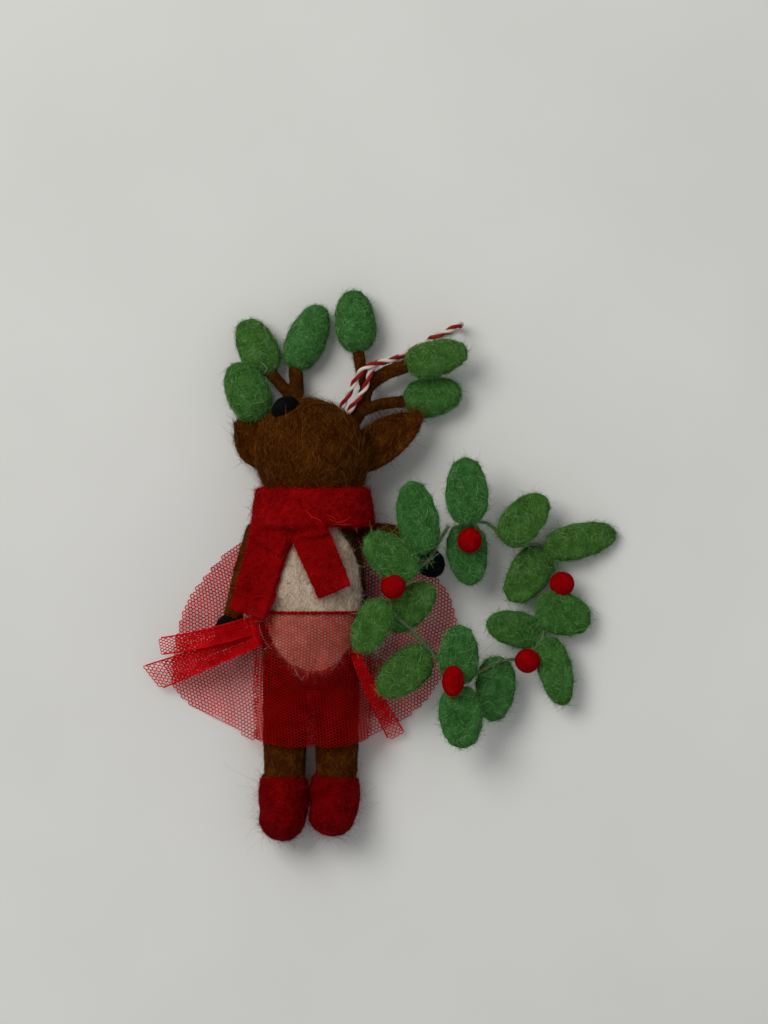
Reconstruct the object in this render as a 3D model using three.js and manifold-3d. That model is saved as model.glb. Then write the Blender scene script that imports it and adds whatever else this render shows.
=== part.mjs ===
// Felted reindeer ornament in a tulle skirt, lying on its back with a leaf wreath in one hoof.
// Millimetres. +Y runs from the boots to the antlers, +X to the wreath and +Z up from the table.
import * as THREE from 'three';
import { mergeVertices } from 'three/addons/utils/BufferGeometryUtils.js';
import Module from 'manifold-3d';

const wasm = await Module();
wasm.setup();

// Clearances
const SEAT_GAP = 0.3;
const PRESSED_FLAT = 0.5;
const DRAPE_SLACK = 0.25;

// Body and belly patch
const BODY_X = -16.75;
const BODY_BACK = 1.3;
const BODY_FLATTEN = 0.85;
const BODY_BOTTOM_Y = -31;
const BODY_TOP_Y = 17;
const HIP_RADIUS = 12.5;
const HIP_Y = -22;
const BELLY_RADIUS = 13.5;
const BELLY_Y = -8;
const SHOULDER_RADIUS = 11;
const SHOULDER_Y = 8;
const NECK_RADIUS = 7;
const PATCH_WIDTH = 24;
const PATCH_LENGTH = 39;
const PATCH_THICKNESS = 1.2;
const PATCH_Y = -7.5;
const PATCH_SHOULDER = 3.5;

// Head, nose, eyes and ears
const HEAD_RADIUS = 13.9;
const HEAD_X = -16.75;
const HEAD_Y = 26.5;
const MUZZLE_LENGTH = 1.5;
const MUZZLE_WAY = new THREE.Vector3(-0.44, 0.82, 0.4);
const NOSE_WIDTH = 6.7;
const NOSE_HEIGHT = 5.2;
const EYE_DIAMETER = 2.2;
const LEFT_EYE_WAY = new THREE.Vector3(-0.6, 0.8, -0.36);
const RIGHT_EYE_WAY = new THREE.Vector3(0.1, 0.95, -0.35);
const LEFT_EAR_LENGTH = 14.6;
const RIGHT_EAR_LENGTH = 20.3;
const EAR_WIDTH = 10;
const EAR_THICKNESS = 2.2;
const EAR_CUP = 1.9;

// Antlers and their leaf pods
const BEAM_DIAMETER = 3.5;
const TINE_DIAMETER = 2.9;
const POD_THICKNESS = 6.6;

// Scarf
const SCARF_THICKNESS = 2;
const SCARF_HEIGHT = 10;
const SCARF_TOP_Y = 19.5;
const SCARF_FLARE = 1.4;
const TAIL_THICKNESS = 1.8;
const LEFT_TAIL_LENGTH = 16.4;
const LEFT_TAIL_WIDTH = 9.2;
const RIGHT_TAIL_LENGTH = 15;
const RIGHT_TAIL_WIDTH = 8.6;
const CROSSING_LENGTH = 9;

// Arms and hooves
const ARM_RADIUS = 2.9;
const WRIST_RADIUS = 2.4;
const HOOF_WIDTH = 7;
const HOOF_LENGTH = 8;
const ARM_SWING = 12;

// Legs and boots
const LEG_RADIUS = 5.5;
const LEG_SPACING = 13;
const LEG_X = -17.3;
const LEG_LIFT = 7;
const ANKLE_Y = -52;
const BOOT_WIDTH = 12.7;
const TOE_WIDTH = 11.5;
const TOE_SHIFT = { left: -0.65, right: -1.2 };
const BOOT_TOP_Y = -50.6;
const LEFT_BOOT_LENGTH = 18.4;
const RIGHT_BOOT_LENGTH = 17.2;
const BOOT_HEIGHT = 17;

// Tulle skirt, gather thread and ties
const WAIST_Y = -11.75;
const SKIRT_THICKNESS = 0.8;
const SKIRT_HEM_Y = -45;
const SKIRT_HEM_LIFT = 15;
const SKIRT_FALL = 3.2;
const SKIRT_BACK_FALL = 3;
const SKIRT_FOLDS = 15;
const SKIRT_FOLD_HEIGHT = 1;
const GATHER_DIAMETER = 1;
const GATHER_SHOULDER = 3;
const TIE_THICKNESS = 0.6;

// Hanging loop
const TWINE_DIAMETER = 1.8;

// Wreath
const WREATH_TILT = 20;
const WREATH_WIRE_DIAMETER = 0.8;
const WREATH_LEAF_THICKNESS = 2.2;
const LEAF_EDGE = 0.7;
const BERRY_DIAMETER = 6.2;
const TIE_THREAD_DIAMETER = 0.5;

const UP = new THREE.Vector3(0, 0, 1);
const DOWN = new THREE.Vector3(0, 0, -1);
const TOWARDS_HEAD = new THREE.Vector3(0, 1, 0);
const STEEPEST = 2.5;
const WELD = 1e-4;
const FAR = 400;

const vec = (x, y, z = 0) => new THREE.Vector3(x, y, z);
const mix = (a, b, share) => a + (b - a) * share;

// Materials
const felt = (color) => new THREE.MeshStandardMaterial({ color, roughness: 0.95, metalness: 0 });
const BROWN = felt(0x5c3c1a);
const CREAM = felt(0xc4b8a4);
const BLACK = felt(0x14171c);
const LEAF_GREEN = felt(0x4c8a4e);
const SCARF_RED = felt(0x9c0c18);
const BERRY_RED = felt(0xbe0c20);
const TULLE_RED = felt(0xb02a38);
const TWINE = felt(0xd8b8b0);
const WIRE = new THREE.MeshStandardMaterial({ color: 0x7c8078, roughness: 0.4, metalness: 0.9 });
const THREAD = felt(0xd8d4cc);

// A closed solid from a geometry: welded, with no collapsed triangles and its faces pointing out.
function solidOf(geometry) {
  const bare = new THREE.BufferGeometry();
  bare.setAttribute('position', geometry.getAttribute('position').clone());
  if (geometry.index) bare.setIndex(geometry.index.clone());
  const welded = mergeVertices(bare, WELD);
  const places = welded.getAttribute('position').array;
  const index = welded.index.array;
  const corner = (i) => new THREE.Vector3().fromArray(places, 3 * i);
  const triangles = [];
  let volume = 0;
  for (let i = 0; i < index.length; i += 3) {
    const [a, b, c] = index.slice(i, i + 3);
    if (a === b || b === c || c === a) continue;
    triangles.push([a, b, c]);
    volume += corner(a).dot(corner(b).cross(corner(c)));
  }
  const facing = volume < 0 ? triangles.map(([a, b, c]) => [a, c, b]) : triangles;
  const triVerts = Uint32Array.from(facing.flat());
  const vertProperties = Float32Array.from(places);
  return new wasm.Manifold(new wasm.Mesh({ numProp: 3, vertProperties, triVerts }));
}

// The largest body that is left when the cutters are taken away.
function cut(solid, cutters) {
  let left = solid;
  for (const cutter of cutters) left = left.subtract(cutter);
  return left.decompose().sort((a, b) => b.volume() - a.volume())[0];
}

function geometryOf(solid) {
  const { vertProperties, triVerts } = solid.getMesh();
  const geometry = new THREE.BufferGeometry();
  geometry.setAttribute('position', new THREE.BufferAttribute(vertProperties, 3));
  geometry.setIndex(new THREE.BufferAttribute(triVerts, 1));
  geometry.computeVertexNormals();
  return geometry;
}

// Adds a solid that is drawn in the table's frame to a group, in the group's own frame.
function add(group, name, solid, material) {
  group.updateWorldMatrix(true, false);
  const geometry = geometryOf(solid).applyMatrix4(group.matrixWorld.clone().invert());
  const mesh = new THREE.Mesh(geometry, material);
  mesh.name = name;
  group.add(mesh);
  return mesh;
}

// Turns a geometry's Y axis along a direction and its Z axis to the given side, and moves it.
function set(geometry, at, along = TOWARDS_HEAD, facing = UP) {
  const y = along.clone().normalize();
  const x = new THREE.Vector3().crossVectors(y, facing).normalize();
  const z = new THREE.Vector3().crossVectors(x, y);
  return geometry.applyMatrix4(new THREE.Matrix4().makeBasis(x, y, z).setPosition(at));
}

// A felted egg along Y: two half ellipses, the front one drawn to a point, pressed to a thickness.
function egg({ radius, back, front, thickness = 2 * radius, point = 1 }, grow = 0, sides = 12, rings = 8) {
  const profile = [];
  for (let i = 0; i <= rings; i += 1) {
    const turn = (i / rings - 0.5) * Math.PI;
    const reach = turn < 0 ? back : front;
    const round = Math.max(0, Math.cos(turn)) ** (turn < 0 ? 1 : point);
    const onAxis = i === 0 || i === rings;
    profile.push(new THREE.Vector2(onAxis ? 0 : (radius + grow) * round, (reach + grow) * Math.sin(turn)));
  }
  const flatten = (thickness / 2 + grow) / (radius + grow);
  return new THREE.LatheGeometry(profile, sides).scale(1, 1, flatten);
}

// A stuffed limb along a curve, with its own thickness along the way and rounded ends.
function limb(points, radii, grow = 0, sides = 10, steps = 9) {
  const path = new THREE.CatmullRomCurve3(points);
  const { tangents, normals, binormals } = path.computeFrenetFrames(steps);
  const widths = new THREE.SplineCurve(radii.map((radius, i) => new THREE.Vector2(i, radius)));
  const rings = [];
  const capTurns = [30, 60].map(THREE.MathUtils.degToRad);
  const ring = (i, radius, shift) => {
    const middle = path.getPointAt(i / steps).addScaledVector(tangents[i], shift);
    return Array.from({ length: sides }, (_, k) => {
      const turn = (2 * Math.PI * k) / sides;
      return middle
        .clone()
        .addScaledVector(normals[i], radius * Math.cos(turn))
        .addScaledVector(binormals[i], radius * Math.sin(turn));
    });
  };
  const startRadius = radii[0] + grow;
  const endRadius = radii[radii.length - 1] + grow;
  for (const turn of capTurns) {
    rings.push(ring(0, startRadius * Math.sin(turn), -startRadius * Math.cos(turn)));
  }
  for (let i = 0; i <= steps; i += 1) rings.push(ring(i, widths.getPoint(i / steps).y + grow, 0));
  for (const turn of [...capTurns].reverse()) {
    rings.push(ring(steps, endRadius * Math.sin(turn), endRadius * Math.cos(turn)));
  }
  const first = path.getPointAt(0).addScaledVector(tangents[0], -startRadius);
  const last = path.getPointAt(1).addScaledVector(tangents[steps], endRadius);
  const places = [first, ...rings.flat(), last];
  const index = [];
  const at = (j, k) => 1 + j * sides + (k % sides);
  for (let k = 0; k < sides; k += 1) {
    index.push(0, at(0, k + 1), at(0, k));
    for (let j = 0; j + 1 < rings.length; j += 1) {
      index.push(at(j, k), at(j, k + 1), at(j + 1, k), at(j, k + 1), at(j + 1, k + 1), at(j + 1, k));
    }
    index.push(places.length - 1, at(rings.length - 1, k), at(rings.length - 1, k + 1));
  }
  return new THREE.BufferGeometry().setFromPoints(places).setIndex(index);
}

// A thin round wire or thread along a curve.
function tube(points, diameter, sides, steps, grow = 0) {
  const section = new THREE.Shape(
    Array.from({ length: sides }, (_, k) => {
      const turn = (2 * Math.PI * k) / sides;
      return new THREE.Vector2(Math.cos(turn), Math.sin(turn)).multiplyScalar(diameter / 2 + grow);
    }),
  );
  const extrudePath = new THREE.CatmullRomCurve3(points);
  return new THREE.ExtrudeGeometry(section, { steps, extrudePath, bevelEnabled: false });
}

// A sheet of even thickness about a surface given by u and v from 0 to 1, closed round u if it loops.
function sheet(pointAt, columns, rows, thickness, loop = false) {
  const stations = loop ? columns : columns + 1;
  const middle = Array.from({ length: stations }, (_, i) =>
    Array.from({ length: rows + 1 }, (__, j) => pointAt(i / columns, j / rows)),
  );
  const near = (i) => (loop ? (i + stations) % stations : THREE.MathUtils.clamp(i, 0, columns));
  const normal = (i, j) => {
    const across = middle[near(i + 1)][j].clone().sub(middle[near(i - 1)][j]);
    const down = middle[i][Math.min(j + 1, rows)].clone().sub(middle[i][Math.max(j - 1, 0)]);
    return across.cross(down).normalize();
  };
  const places = [];
  for (const side of [0.5, -0.5]) {
    for (let i = 0; i < stations; i += 1) {
      for (let j = 0; j <= rows; j += 1) {
        places.push(middle[i][j].clone().addScaledVector(normal(i, j), side * thickness));
      }
    }
  }
  const at = (side, i, j) => side * stations * (rows + 1) + near(i) * (rows + 1) + j;
  const index = [];
  const quad = (a, b, c, d) => index.push(a, b, c, a, c, d);
  for (let i = 0; i < columns; i += 1) {
    for (let j = 0; j < rows; j += 1) {
      quad(at(0, i, j), at(0, i + 1, j), at(0, i + 1, j + 1), at(0, i, j + 1));
      quad(at(1, i, j), at(1, i, j + 1), at(1, i + 1, j + 1), at(1, i + 1, j));
    }
    quad(at(0, i, 0), at(1, i, 0), at(1, i + 1, 0), at(0, i + 1, 0));
    quad(at(0, i, rows), at(0, i + 1, rows), at(1, i + 1, rows), at(1, i, rows));
  }
  for (let j = 0; j < rows && !loop; j += 1) {
    quad(at(0, 0, j), at(0, 0, j + 1), at(1, 0, j + 1), at(1, 0, j));
    quad(at(0, columns, j), at(1, columns, j), at(1, columns, j + 1), at(0, columns, j + 1));
  }
  return new THREE.BufferGeometry().setFromPoints(places).setIndex(index);
}

// Everything below the given height, as a block to cut with.
function below(height) {
  return solidOf(new THREE.BoxGeometry(FAR, FAR, FAR).translate(0, 0, height - FAR / 2));
}

const figure = new THREE.Group();

// Body: one felted pear about the long axis, pressed from front to back.
const BODY_LIFT = BODY_BACK + BODY_FLATTEN * BELLY_RADIUS;
const bodyProfile = new THREE.SplineCurve([
  new THREE.Vector2(0, BODY_BOTTOM_Y),
  new THREE.Vector2(0.7 * HIP_RADIUS, mix(BODY_BOTTOM_Y, HIP_Y, 0.28)),
  new THREE.Vector2(HIP_RADIUS, HIP_Y),
  new THREE.Vector2(BELLY_RADIUS, BELLY_Y),
  new THREE.Vector2(SHOULDER_RADIUS, SHOULDER_Y),
  new THREE.Vector2(NECK_RADIUS, mix(SHOULDER_Y, BODY_TOP_Y, 0.65)),
  new THREE.Vector2(0, BODY_TOP_Y),
]).getPoints(14);

function bodyRadius(y) {
  const above = bodyProfile.findIndex((p) => p.y >= y);
  if (above < 1) return 0;
  const [low, high] = [bodyProfile[above - 1], bodyProfile[above]];
  return mix(low.x, high.x, (y - low.y) / (high.y - low.y));
}

function bodyShape(grow = 0) {
  const profile = bodyProfile.map((p, i) => {
    const end = i === 0 ? -1 : Number(i === bodyProfile.length - 1);
    return new THREE.Vector2(end ? 0 : p.x + grow, p.y + end * grow);
  });
  const geometry = new THREE.LatheGeometry(profile, 18).scale(1, 1, BODY_FLATTEN);
  return solidOf(geometry.translate(BODY_X, 0, BODY_LIFT));
}

// Head: a round crown with a short muzzle tipped back, its back pressed flat by the table.
const HEAD_MIDDLE = vec(HEAD_X, HEAD_Y, HEAD_RADIUS - PRESSED_FLAT);
const MUZZLE_REACH = HEAD_RADIUS + MUZZLE_LENGTH;
const headForm = { radius: HEAD_RADIUS, back: HEAD_RADIUS, front: MUZZLE_REACH };
const headShape = (grow = 0) => solidOf(set(egg(headForm, grow, 18, 12), HEAD_MIDDLE, MUZZLE_WAY));

// The point of the head's surface in a direction from its middle, or a depth below it.
function onHead(way, depth = 0) {
  const out = way.clone().normalize();
  const ahead = out.dot(MUZZLE_WAY.clone().normalize());
  const reach = ahead > 0 ? MUZZLE_REACH : HEAD_RADIUS;
  const surface = 1 / Math.hypot(ahead / reach, Math.sqrt(1 - ahead * ahead) / HEAD_RADIUS);
  return HEAD_MIDDLE.clone().addScaledVector(out, surface - depth);
}


// Antlers: wool wrapped round a branched wire, with a leaf pod felted on each end.
const ANTLERS = [
  {
    side: 'left',
    rootWay: vec(-7.5, 7.25, -8.75),
    beam: [vec(0.5, 4.5), vec(2.9, 8.2), vec(2.75, 16.5)],
    tines: [
      [vec(2.6, 7.6), vec(-0.6, 11.4), vec(-4, 15.25)],
      [vec(0.3, 3.6), vec(-2.6, 4.4, 1), vec(-6.5, 3.9, 2.8)],
    ],
    pods: [
      { name: 'upper', way: vec(0.404, 0.914), length: 17.4, width: 9.9 },
      { name: 'outer', way: vec(-0.43, 0.903), length: 15, width: 10 },
      { name: 'lower', way: vec(-0.42, 0.907, 0.05), length: 15.4, width: 11 },
    ],
  },
  {
    side: 'right',
    rootWay: vec(8.75, 7, -8.75),
    beam: [vec(4, 6), vec(5.6, 11.6, 0.4), vec(9.8, 14.9, 2), vec(16.2, 17.2, 5)],
    tines: [
      [vec(5.4, 11.2, 0.3), vec(4.1, 16), vec(3.25, 21.5)],
      [vec(3.6, 5.4), vec(9, 7.4), vec(15.75, 8.2)],
    ],
    pods: [
      { name: 'outer', way: vec(0.97, 0.24, 0.04), length: 16, width: 9 },
      { name: 'upper', way: vec(-0.1, 1), length: 15.6, width: 10.4 },
      { name: 'lower', way: vec(0.985, 0.17), length: 14.8, width: 10 },
    ],
  },
];
const POD_BASE_SHARE = 0.42;
const POD_BITE = 1;

const antlerRooms = [];
for (const { side, rootWay, beam, tines, pods } of ANTLERS) {
  const root = onHead(rootWay, POD_BITE);
  const placed = (points) => points.map((p) => p.clone().add(root));
  const branches = [[root, ...placed(beam)], ...tines.map(placed)];
  const podShapes = pods.map(({ way, length, width }, i) => {
    const back = length * POD_BASE_SHARE;
    const tip = branches[i][branches[i].length - 1];
    const middle = tip.clone().addScaledVector(way.clone().normalize(), back - POD_BITE);
    const form = { radius: width / 2, back, front: length - back, thickness: POD_THICKNESS, point: 1.15 };
    return (grow) => solidOf(set(egg(form, grow), middle, way));
  });
  const woolShape = (grow) =>
    branches
      .map((branch, i) => solidOf(tube(branch, i === 0 ? BEAM_DIAMETER : TINE_DIAMETER, 8, 8, grow)))
      .reduce((whole, branch) => whole.add(branch));
  const podSeats = podShapes.map((shape) => shape(SEAT_GAP));
  add(figure, `antler_${side}`, cut(woolShape(0), [headShape(SEAT_GAP), ...podSeats]), BROWN);
  pods.forEach(({ name }, i) => add(figure, `antler_leaf_${side}_${name}`, podShapes[i](0), LEAF_GREEN));
  antlerRooms.push(woolShape(SEAT_GAP), ...podSeats);
}

// Head, then nose, eyes and ears, each seated on it.
add(figure, 'head', cut(headShape(), [below(0)]), BROWN);

const noseForm = {
  radius: NOSE_WIDTH / 2,
  back: NOSE_HEIGHT / 2,
  front: NOSE_HEIGHT / 2,
  thickness: NOSE_HEIGHT,
};
const noseAt = HEAD_MIDDLE.clone().addScaledVector(MUZZLE_WAY.clone().normalize(), MUZZLE_REACH);
const nose = solidOf(set(egg(noseForm, 0, 10, 6), noseAt, MUZZLE_WAY));
add(figure, 'nose', cut(nose, [headShape(SEAT_GAP)]), BLACK);

for (const [name, way] of [['eye_left', LEFT_EYE_WAY], ['eye_right', RIGHT_EYE_WAY]]) {
  const eye = solidOf(new THREE.SphereGeometry(EYE_DIAMETER / 2, 8, 6).translate(...onHead(way).toArray()));
  add(figure, name, cut(eye, [headShape(SEAT_GAP)]), BLACK);
}

// A felt ear is a leaf that is folded to a shallow cup along its length.
function earShape(length, rootWay, along, facing) {
  const root = onHead(rootWay, 1.5 * EAR_THICKNESS);
  const pointAt = (u, v) => {
    const width = EAR_WIDTH * (0.1 + 0.9 * Math.sin(Math.PI * mix(0.2, 0.97, v)) ** 0.8);
    const across = 2 * u - 1;
    return vec((across * width) / 2, v * length, EAR_CUP * across * across * Math.sin(Math.PI * v));
  };
  return solidOf(set(sheet(pointAt, 6, 9, EAR_THICKNESS), root, along, facing));
}
const rightEarWay = vec(0.816, 0.577, -0.06);
const leftEarWay = vec(-0.64, 0.71, -0.34);
const rightEar = earShape(RIGHT_EAR_LENGTH, vec(13.6, -1.2, -3.2), rightEarWay, vec(-0.2, 0.2, 1));
const leftEar = earShape(LEFT_EAR_LENGTH, vec(-11.8, -0.9, -5.5), leftEarWay, vec(-0.3, 0.2, 1));
const earCutters = [headShape(SEAT_GAP), below(0), ...antlerRooms];
add(figure, 'ear_right', cut(rightEar, earCutters), BROWN);
add(figure, 'ear_left', cut(leftEar, earCutters), BROWN);

add(figure, 'body', cut(bodyShape(), [headShape(SEAT_GAP)]), BROWN);

// Belly patch: a cream oval felted onto the front of the body.
const patchOval = new THREE.Shape();
patchOval.absellipse(BODY_X, PATCH_Y, PATCH_WIDTH / 2, PATCH_LENGTH / 2, 0, 2 * Math.PI);
const patchLook = { depth: FAR, bevelEnabled: false, curveSegments: 9 };
const patchPrism = new THREE.ExtrudeGeometry(patchOval, patchLook);
const patchColumn = solidOf(patchPrism.translate(0, 0, BODY_LIFT));
const patch = bodyShape(SEAT_GAP + PATCH_THICKNESS).intersect(patchColumn);
add(figure, 'belly_patch', cut(patch, [bodyShape(SEAT_GAP), headShape(SEAT_GAP)]), CREAM);

function onPatch(x, y) {
  const across = (x - BODY_X) / (PATCH_WIDTH / 2 + PATCH_SHOULDER);
  const along = (y - PATCH_Y) / (PATCH_LENGTH / 2 + PATCH_SHOULDER);
  return across * across + along * along < 1;
}

// Height of the body's front, or of the patch on it, with a clearance; the table where there is none.
function frontHeight(x, y, clear) {
  const radius = bodyRadius(y) + clear + (onPatch(x, y) ? SEAT_GAP + PATCH_THICKNESS : 0);
  const across = x - BODY_X;
  const rise = radius * radius - across * across;
  return rise > 0 ? BODY_LIFT + BODY_FLATTEN * Math.sqrt(rise) : 0;
}

// Arms: felted sausages, each turning about its shoulder, with a hoof on the end.
const armRadii = [ARM_RADIUS, ARM_RADIUS, WRIST_RADIUS];

function armShapes(shoulder, steps, hoofTurn) {
  const points = [shoulder, ...steps.map((step) => step.clone().add(shoulder))];
  const [before, wrist] = points.slice(-2);
  const way = wrist.clone().sub(before).applyAxisAngle(UP, hoofTurn).normalize();
  const middle = wrist.clone().addScaledVector(way, HOOF_LENGTH / 2 - POD_BITE);
  const hoofForm = { radius: HOOF_WIDTH / 2, back: HOOF_LENGTH / 2, front: HOOF_LENGTH / 2 };
  return {
    middle,
    arm: (grow, sides, steps) => solidOf(limb(points, armRadii, grow, sides, steps)),
    hoof: (grow) => solidOf(set(egg(hoofForm, grow, 12, 8), middle, way)),
  };
}

function shoulderPoint(side) {
  return vec(BODY_X + side * (bodyRadius(SHOULDER_Y) + SEAT_GAP + ARM_RADIUS), SHOULDER_Y, BODY_LIFT);
}

const ARMS = [
  {
    side: 'left',
    shoulder: shoulderPoint(-1),
    steps: [vec(-2.9, -10.2, -1.2), vec(-6, -21.2, -3.6)],
    hoofTurn: -0.05,
    swing: -ARM_SWING,
  },
  {
    side: 'right',
    shoulder: shoulderPoint(1),
    steps: [vec(8.6, -1.6, -0.2), vec(13, -5.2, -0.3)],
    hoofTurn: -0.1,
    swing: ARM_SWING,
  },
];
const armRooms = [];
const armGroups = {};
for (const { side, shoulder, steps, hoofTurn, swing } of ARMS) {
  const group = new THREE.Group();
  group.position.copy(shoulder);
  figure.add(group);
  const { middle, arm, hoof } = armShapes(shoulder, steps, hoofTurn);
  add(group, `arm_${side}`, cut(arm(0), [hoof(SEAT_GAP)]), BROWN);
  add(group, `hoof_${side}`, hoof(0), BLACK);
  armGroups[side] = { group, hoofMiddle: middle };
  const room = arm(2 * SEAT_GAP, 8, 4);
  const turned = geometryOf(room).translate(...shoulder.clone().negate().toArray());
  turned.rotateZ(THREE.MathUtils.degToRad(swing)).translate(...shoulder.toArray());
  armRooms.push(room, solidOf(turned));
}

// Legs run from the hips into the boots; the boots' heels are pressed flat by the table.
const legXs = { left: LEG_X - LEG_SPACING / 2, right: LEG_X + LEG_SPACING / 2 };
const bootLengths = { left: LEFT_BOOT_LENGTH, right: RIGHT_BOOT_LENGTH };
for (const side of ['left', 'right']) {
  const x = legXs[side];
  const legYs = [HIP_Y - 2, mix(HIP_Y, ANKLE_Y, 0.6), ANKLE_Y];
  const legPoints = legYs.map((y) => vec(x, y, LEG_LIFT));
  const leg = (grow) => solidOf(limb(legPoints, [LEG_RADIUS, LEG_RADIUS, LEG_RADIUS * 0.95], grow, 12, 6));
  const length = bootLengths[side];
  const cuffForm = {
    radius: BOOT_WIDTH / 2,
    back: length * 0.62,
    front: length * 0.38,
    thickness: BOOT_HEIGHT * 0.82,
    point: 0.5,
  };
  const footForm = {
    radius: TOE_WIDTH / 2,
    back: BOOT_HEIGHT / 2,
    front: BOOT_HEIGHT / 2 + PRESSED_FLAT,
    thickness: length * 0.6,
  };
  const cuffLift = cuffForm.thickness / 2 - PRESSED_FLAT;
  const cuffAt = vec(x + 0.4 * TOE_SHIFT[side], BOOT_TOP_Y - cuffForm.front, cuffLift);
  const cuff = solidOf(set(egg(cuffForm, 0, 14, 9), cuffAt, TOWARDS_HEAD));
  const footAt = vec(x + TOE_SHIFT[side], BOOT_TOP_Y - length + footForm.thickness / 2, BOOT_HEIGHT / 2);
  const foot = solidOf(set(egg(footForm, 0, 14, 8), footAt, DOWN, TOWARDS_HEAD));
  add(figure, `leg_${side}`, cut(leg(0), [bodyShape(SEAT_GAP)]), BROWN);
  add(figure, `boot_${side}`, cut(cuff.add(foot), [leg(SEAT_GAP), below(0)]), SCARF_RED);
}

function legHeight(x, y, clear) {
  if (y < ANKLE_Y - LEG_RADIUS) return 0;
  const rises = Object.values(legXs).map((legX) => (LEG_RADIUS + clear) ** 2 - (x - legX) ** 2);
  const rise = Math.max(...rises);
  return rise > 0 ? LEG_LIFT + Math.sqrt(rise) : 0;
}

// Scarf: a felt band round the neck, its two ends crossing at the front and hanging over the belly.
const headAtScarf = Math.sqrt(HEAD_RADIUS ** 2 - (HEAD_Y - SCARF_TOP_Y) ** 2);
const scarfTop = headAtScarf + SEAT_GAP + SCARF_THICKNESS;
const SCARF_BOTTOM_Y = SCARF_TOP_Y - SCARF_HEIGHT;
const BAND_WALL = 1.6 * SCARF_THICKNESS;
const BAND_FLATTEN = 0.95;
const bandProfile = [
  new THREE.Vector2(scarfTop - BAND_WALL, SCARF_TOP_Y),
  new THREE.Vector2(scarfTop + SCARF_FLARE - BAND_WALL, SCARF_BOTTOM_Y),
  new THREE.Vector2(scarfTop + SCARF_FLARE, SCARF_BOTTOM_Y + 0.5),
  new THREE.Vector2(scarfTop + 0.5 * SCARF_FLARE, mix(SCARF_BOTTOM_Y, SCARF_TOP_Y, 0.5)),
  new THREE.Vector2(scarfTop, SCARF_TOP_Y - 0.6),
  new THREE.Vector2(scarfTop - BAND_WALL, SCARF_TOP_Y),
];
const band = solidOf(
  new THREE.LatheGeometry(bandProfile, 22).scale(1, 1, BAND_FLATTEN).translate(BODY_X, 0, HEAD_MIDDLE.z),
);

// A strip of felt or tulle along a middle line, with its width at the start and at the end.
function strip(points, startWidth, endWidth, thickness, heightAt, columns = 10, rows = 4) {
  const line = new THREE.CatmullRomCurve3(points);
  const pointAt = (u, v) => {
    const middle = line.getPointAt(u);
    const side = line.getTangentAt(u).cross(UP).normalize();
    const place = middle.clone().addScaledVector(side, (v - 0.5) * mix(startWidth, endWidth, u));
    return place.setZ(heightAt(place.x, place.y, middle.z));
  };
  return solidOf(sheet(pointAt, columns, rows, thickness));
}

const tailClear = SEAT_GAP + DRAPE_SLACK + TAIL_THICKNESS / 2;
const overFront = (clear) => (x, y, z) => Math.max(z, frontHeight(x, y, clear));

const leftTailWay = vec(-0.29, -0.957).normalize();
const rightTailWay = vec(0.39, -0.921).normalize();
const crossingTop = vec(BODY_X - 8.8, SCARF_BOTTOM_Y + 2.9, 0);
const leftTailStart = crossingTop.clone().addScaledVector(leftTailWay, CROSSING_LENGTH);
for (const p of [crossingTop, leftTailStart]) p.setZ(frontHeight(p.x, p.y, tailClear));
const crossing = strip(
  [crossingTop, leftTailStart],
  LEFT_TAIL_WIDTH + 2,
  LEFT_TAIL_WIDTH + 1,
  TAIL_THICKNESS,
  overFront(tailClear),
  4,
);
const bandCutters = [headShape(SEAT_GAP), bodyShape(SEAT_GAP), below(SEAT_GAP), ...armRooms];
const patchRoom = bodyShape(2 * SEAT_GAP + PATCH_THICKNESS).intersect(patchColumn);
add(figure, 'scarf_band', cut(band.add(crossing), [...bandCutters, patchRoom]), SCARF_RED);

// Skirt: one ring of tulle gathered at the waist. Its front falls over the legs, its sides spread on
// the table and its back lies folded up beneath the body.
const skirtClear = SEAT_GAP + DRAPE_SLACK + SKIRT_THICKNESS / 2;
const SKIRT_TOP_Y = WAIST_Y - SEAT_GAP - GATHER_DIAMETER / 2;
const ringRadius = bodyRadius(SKIRT_TOP_Y) + SEAT_GAP + PATCH_THICKNESS + skirtClear;
const onTable = SKIRT_THICKNESS / 2;
const hem = new THREE.CatmullRomCurve3(
  [
    [-17, 8.5], [-27, 8], [-35.5, 5.2], [-42.6, -1.75],
    [-48.3, -9.5], [-51, -19], [-51.8, -29.5], [-47.5, -35],
    [-40.25, -38.6], [-32.5, -43], [-24, SKIRT_HEM_Y],
    [-16.5, SKIRT_HEM_Y], [-9, SKIRT_HEM_Y], [-1.5, -42.3],
    [6, -38.7], [12.6, -32], [16.8, -23.5], [18.75, -14], [16, -6.25], [9.5, 1], [0, 6.2], [-8, 8.2],
  ].map(([x, y]) => vec(x, y)),
  true,
);

// Height of the skirt's middle surface in front of the waist, where it arches over hips and legs.
function skirtHeight(x, y) {
  const along = THREE.MathUtils.clamp((SKIRT_TOP_Y - y) / (SKIRT_TOP_Y - SKIRT_HEM_Y), 0, 1);
  const crest = mix(BODY_LIFT + BODY_FLATTEN * ringRadius, SKIRT_HEM_LIFT, along) - onTable;
  const across = Math.abs(x - BODY_X) / (ringRadius + SKIRT_FALL);
  const arch = onTable + crest * Math.max(0, 1 - across ** 3);
  return Math.max(arch, frontHeight(x, y, skirtClear), legHeight(x, y, skirtClear));
}

// Height of a sheet that lies on the skirt, kept clear of it square to the slope.
function overSkirtBy(x, y, clear) {
  const slope = skirtHeight(x + 0.5, y) - skirtHeight(x - 0.5, y);
  return skirtHeight(x, y) + clear * Math.hypot(1, Math.min(Math.abs(slope), STEEPEST));
}

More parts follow.
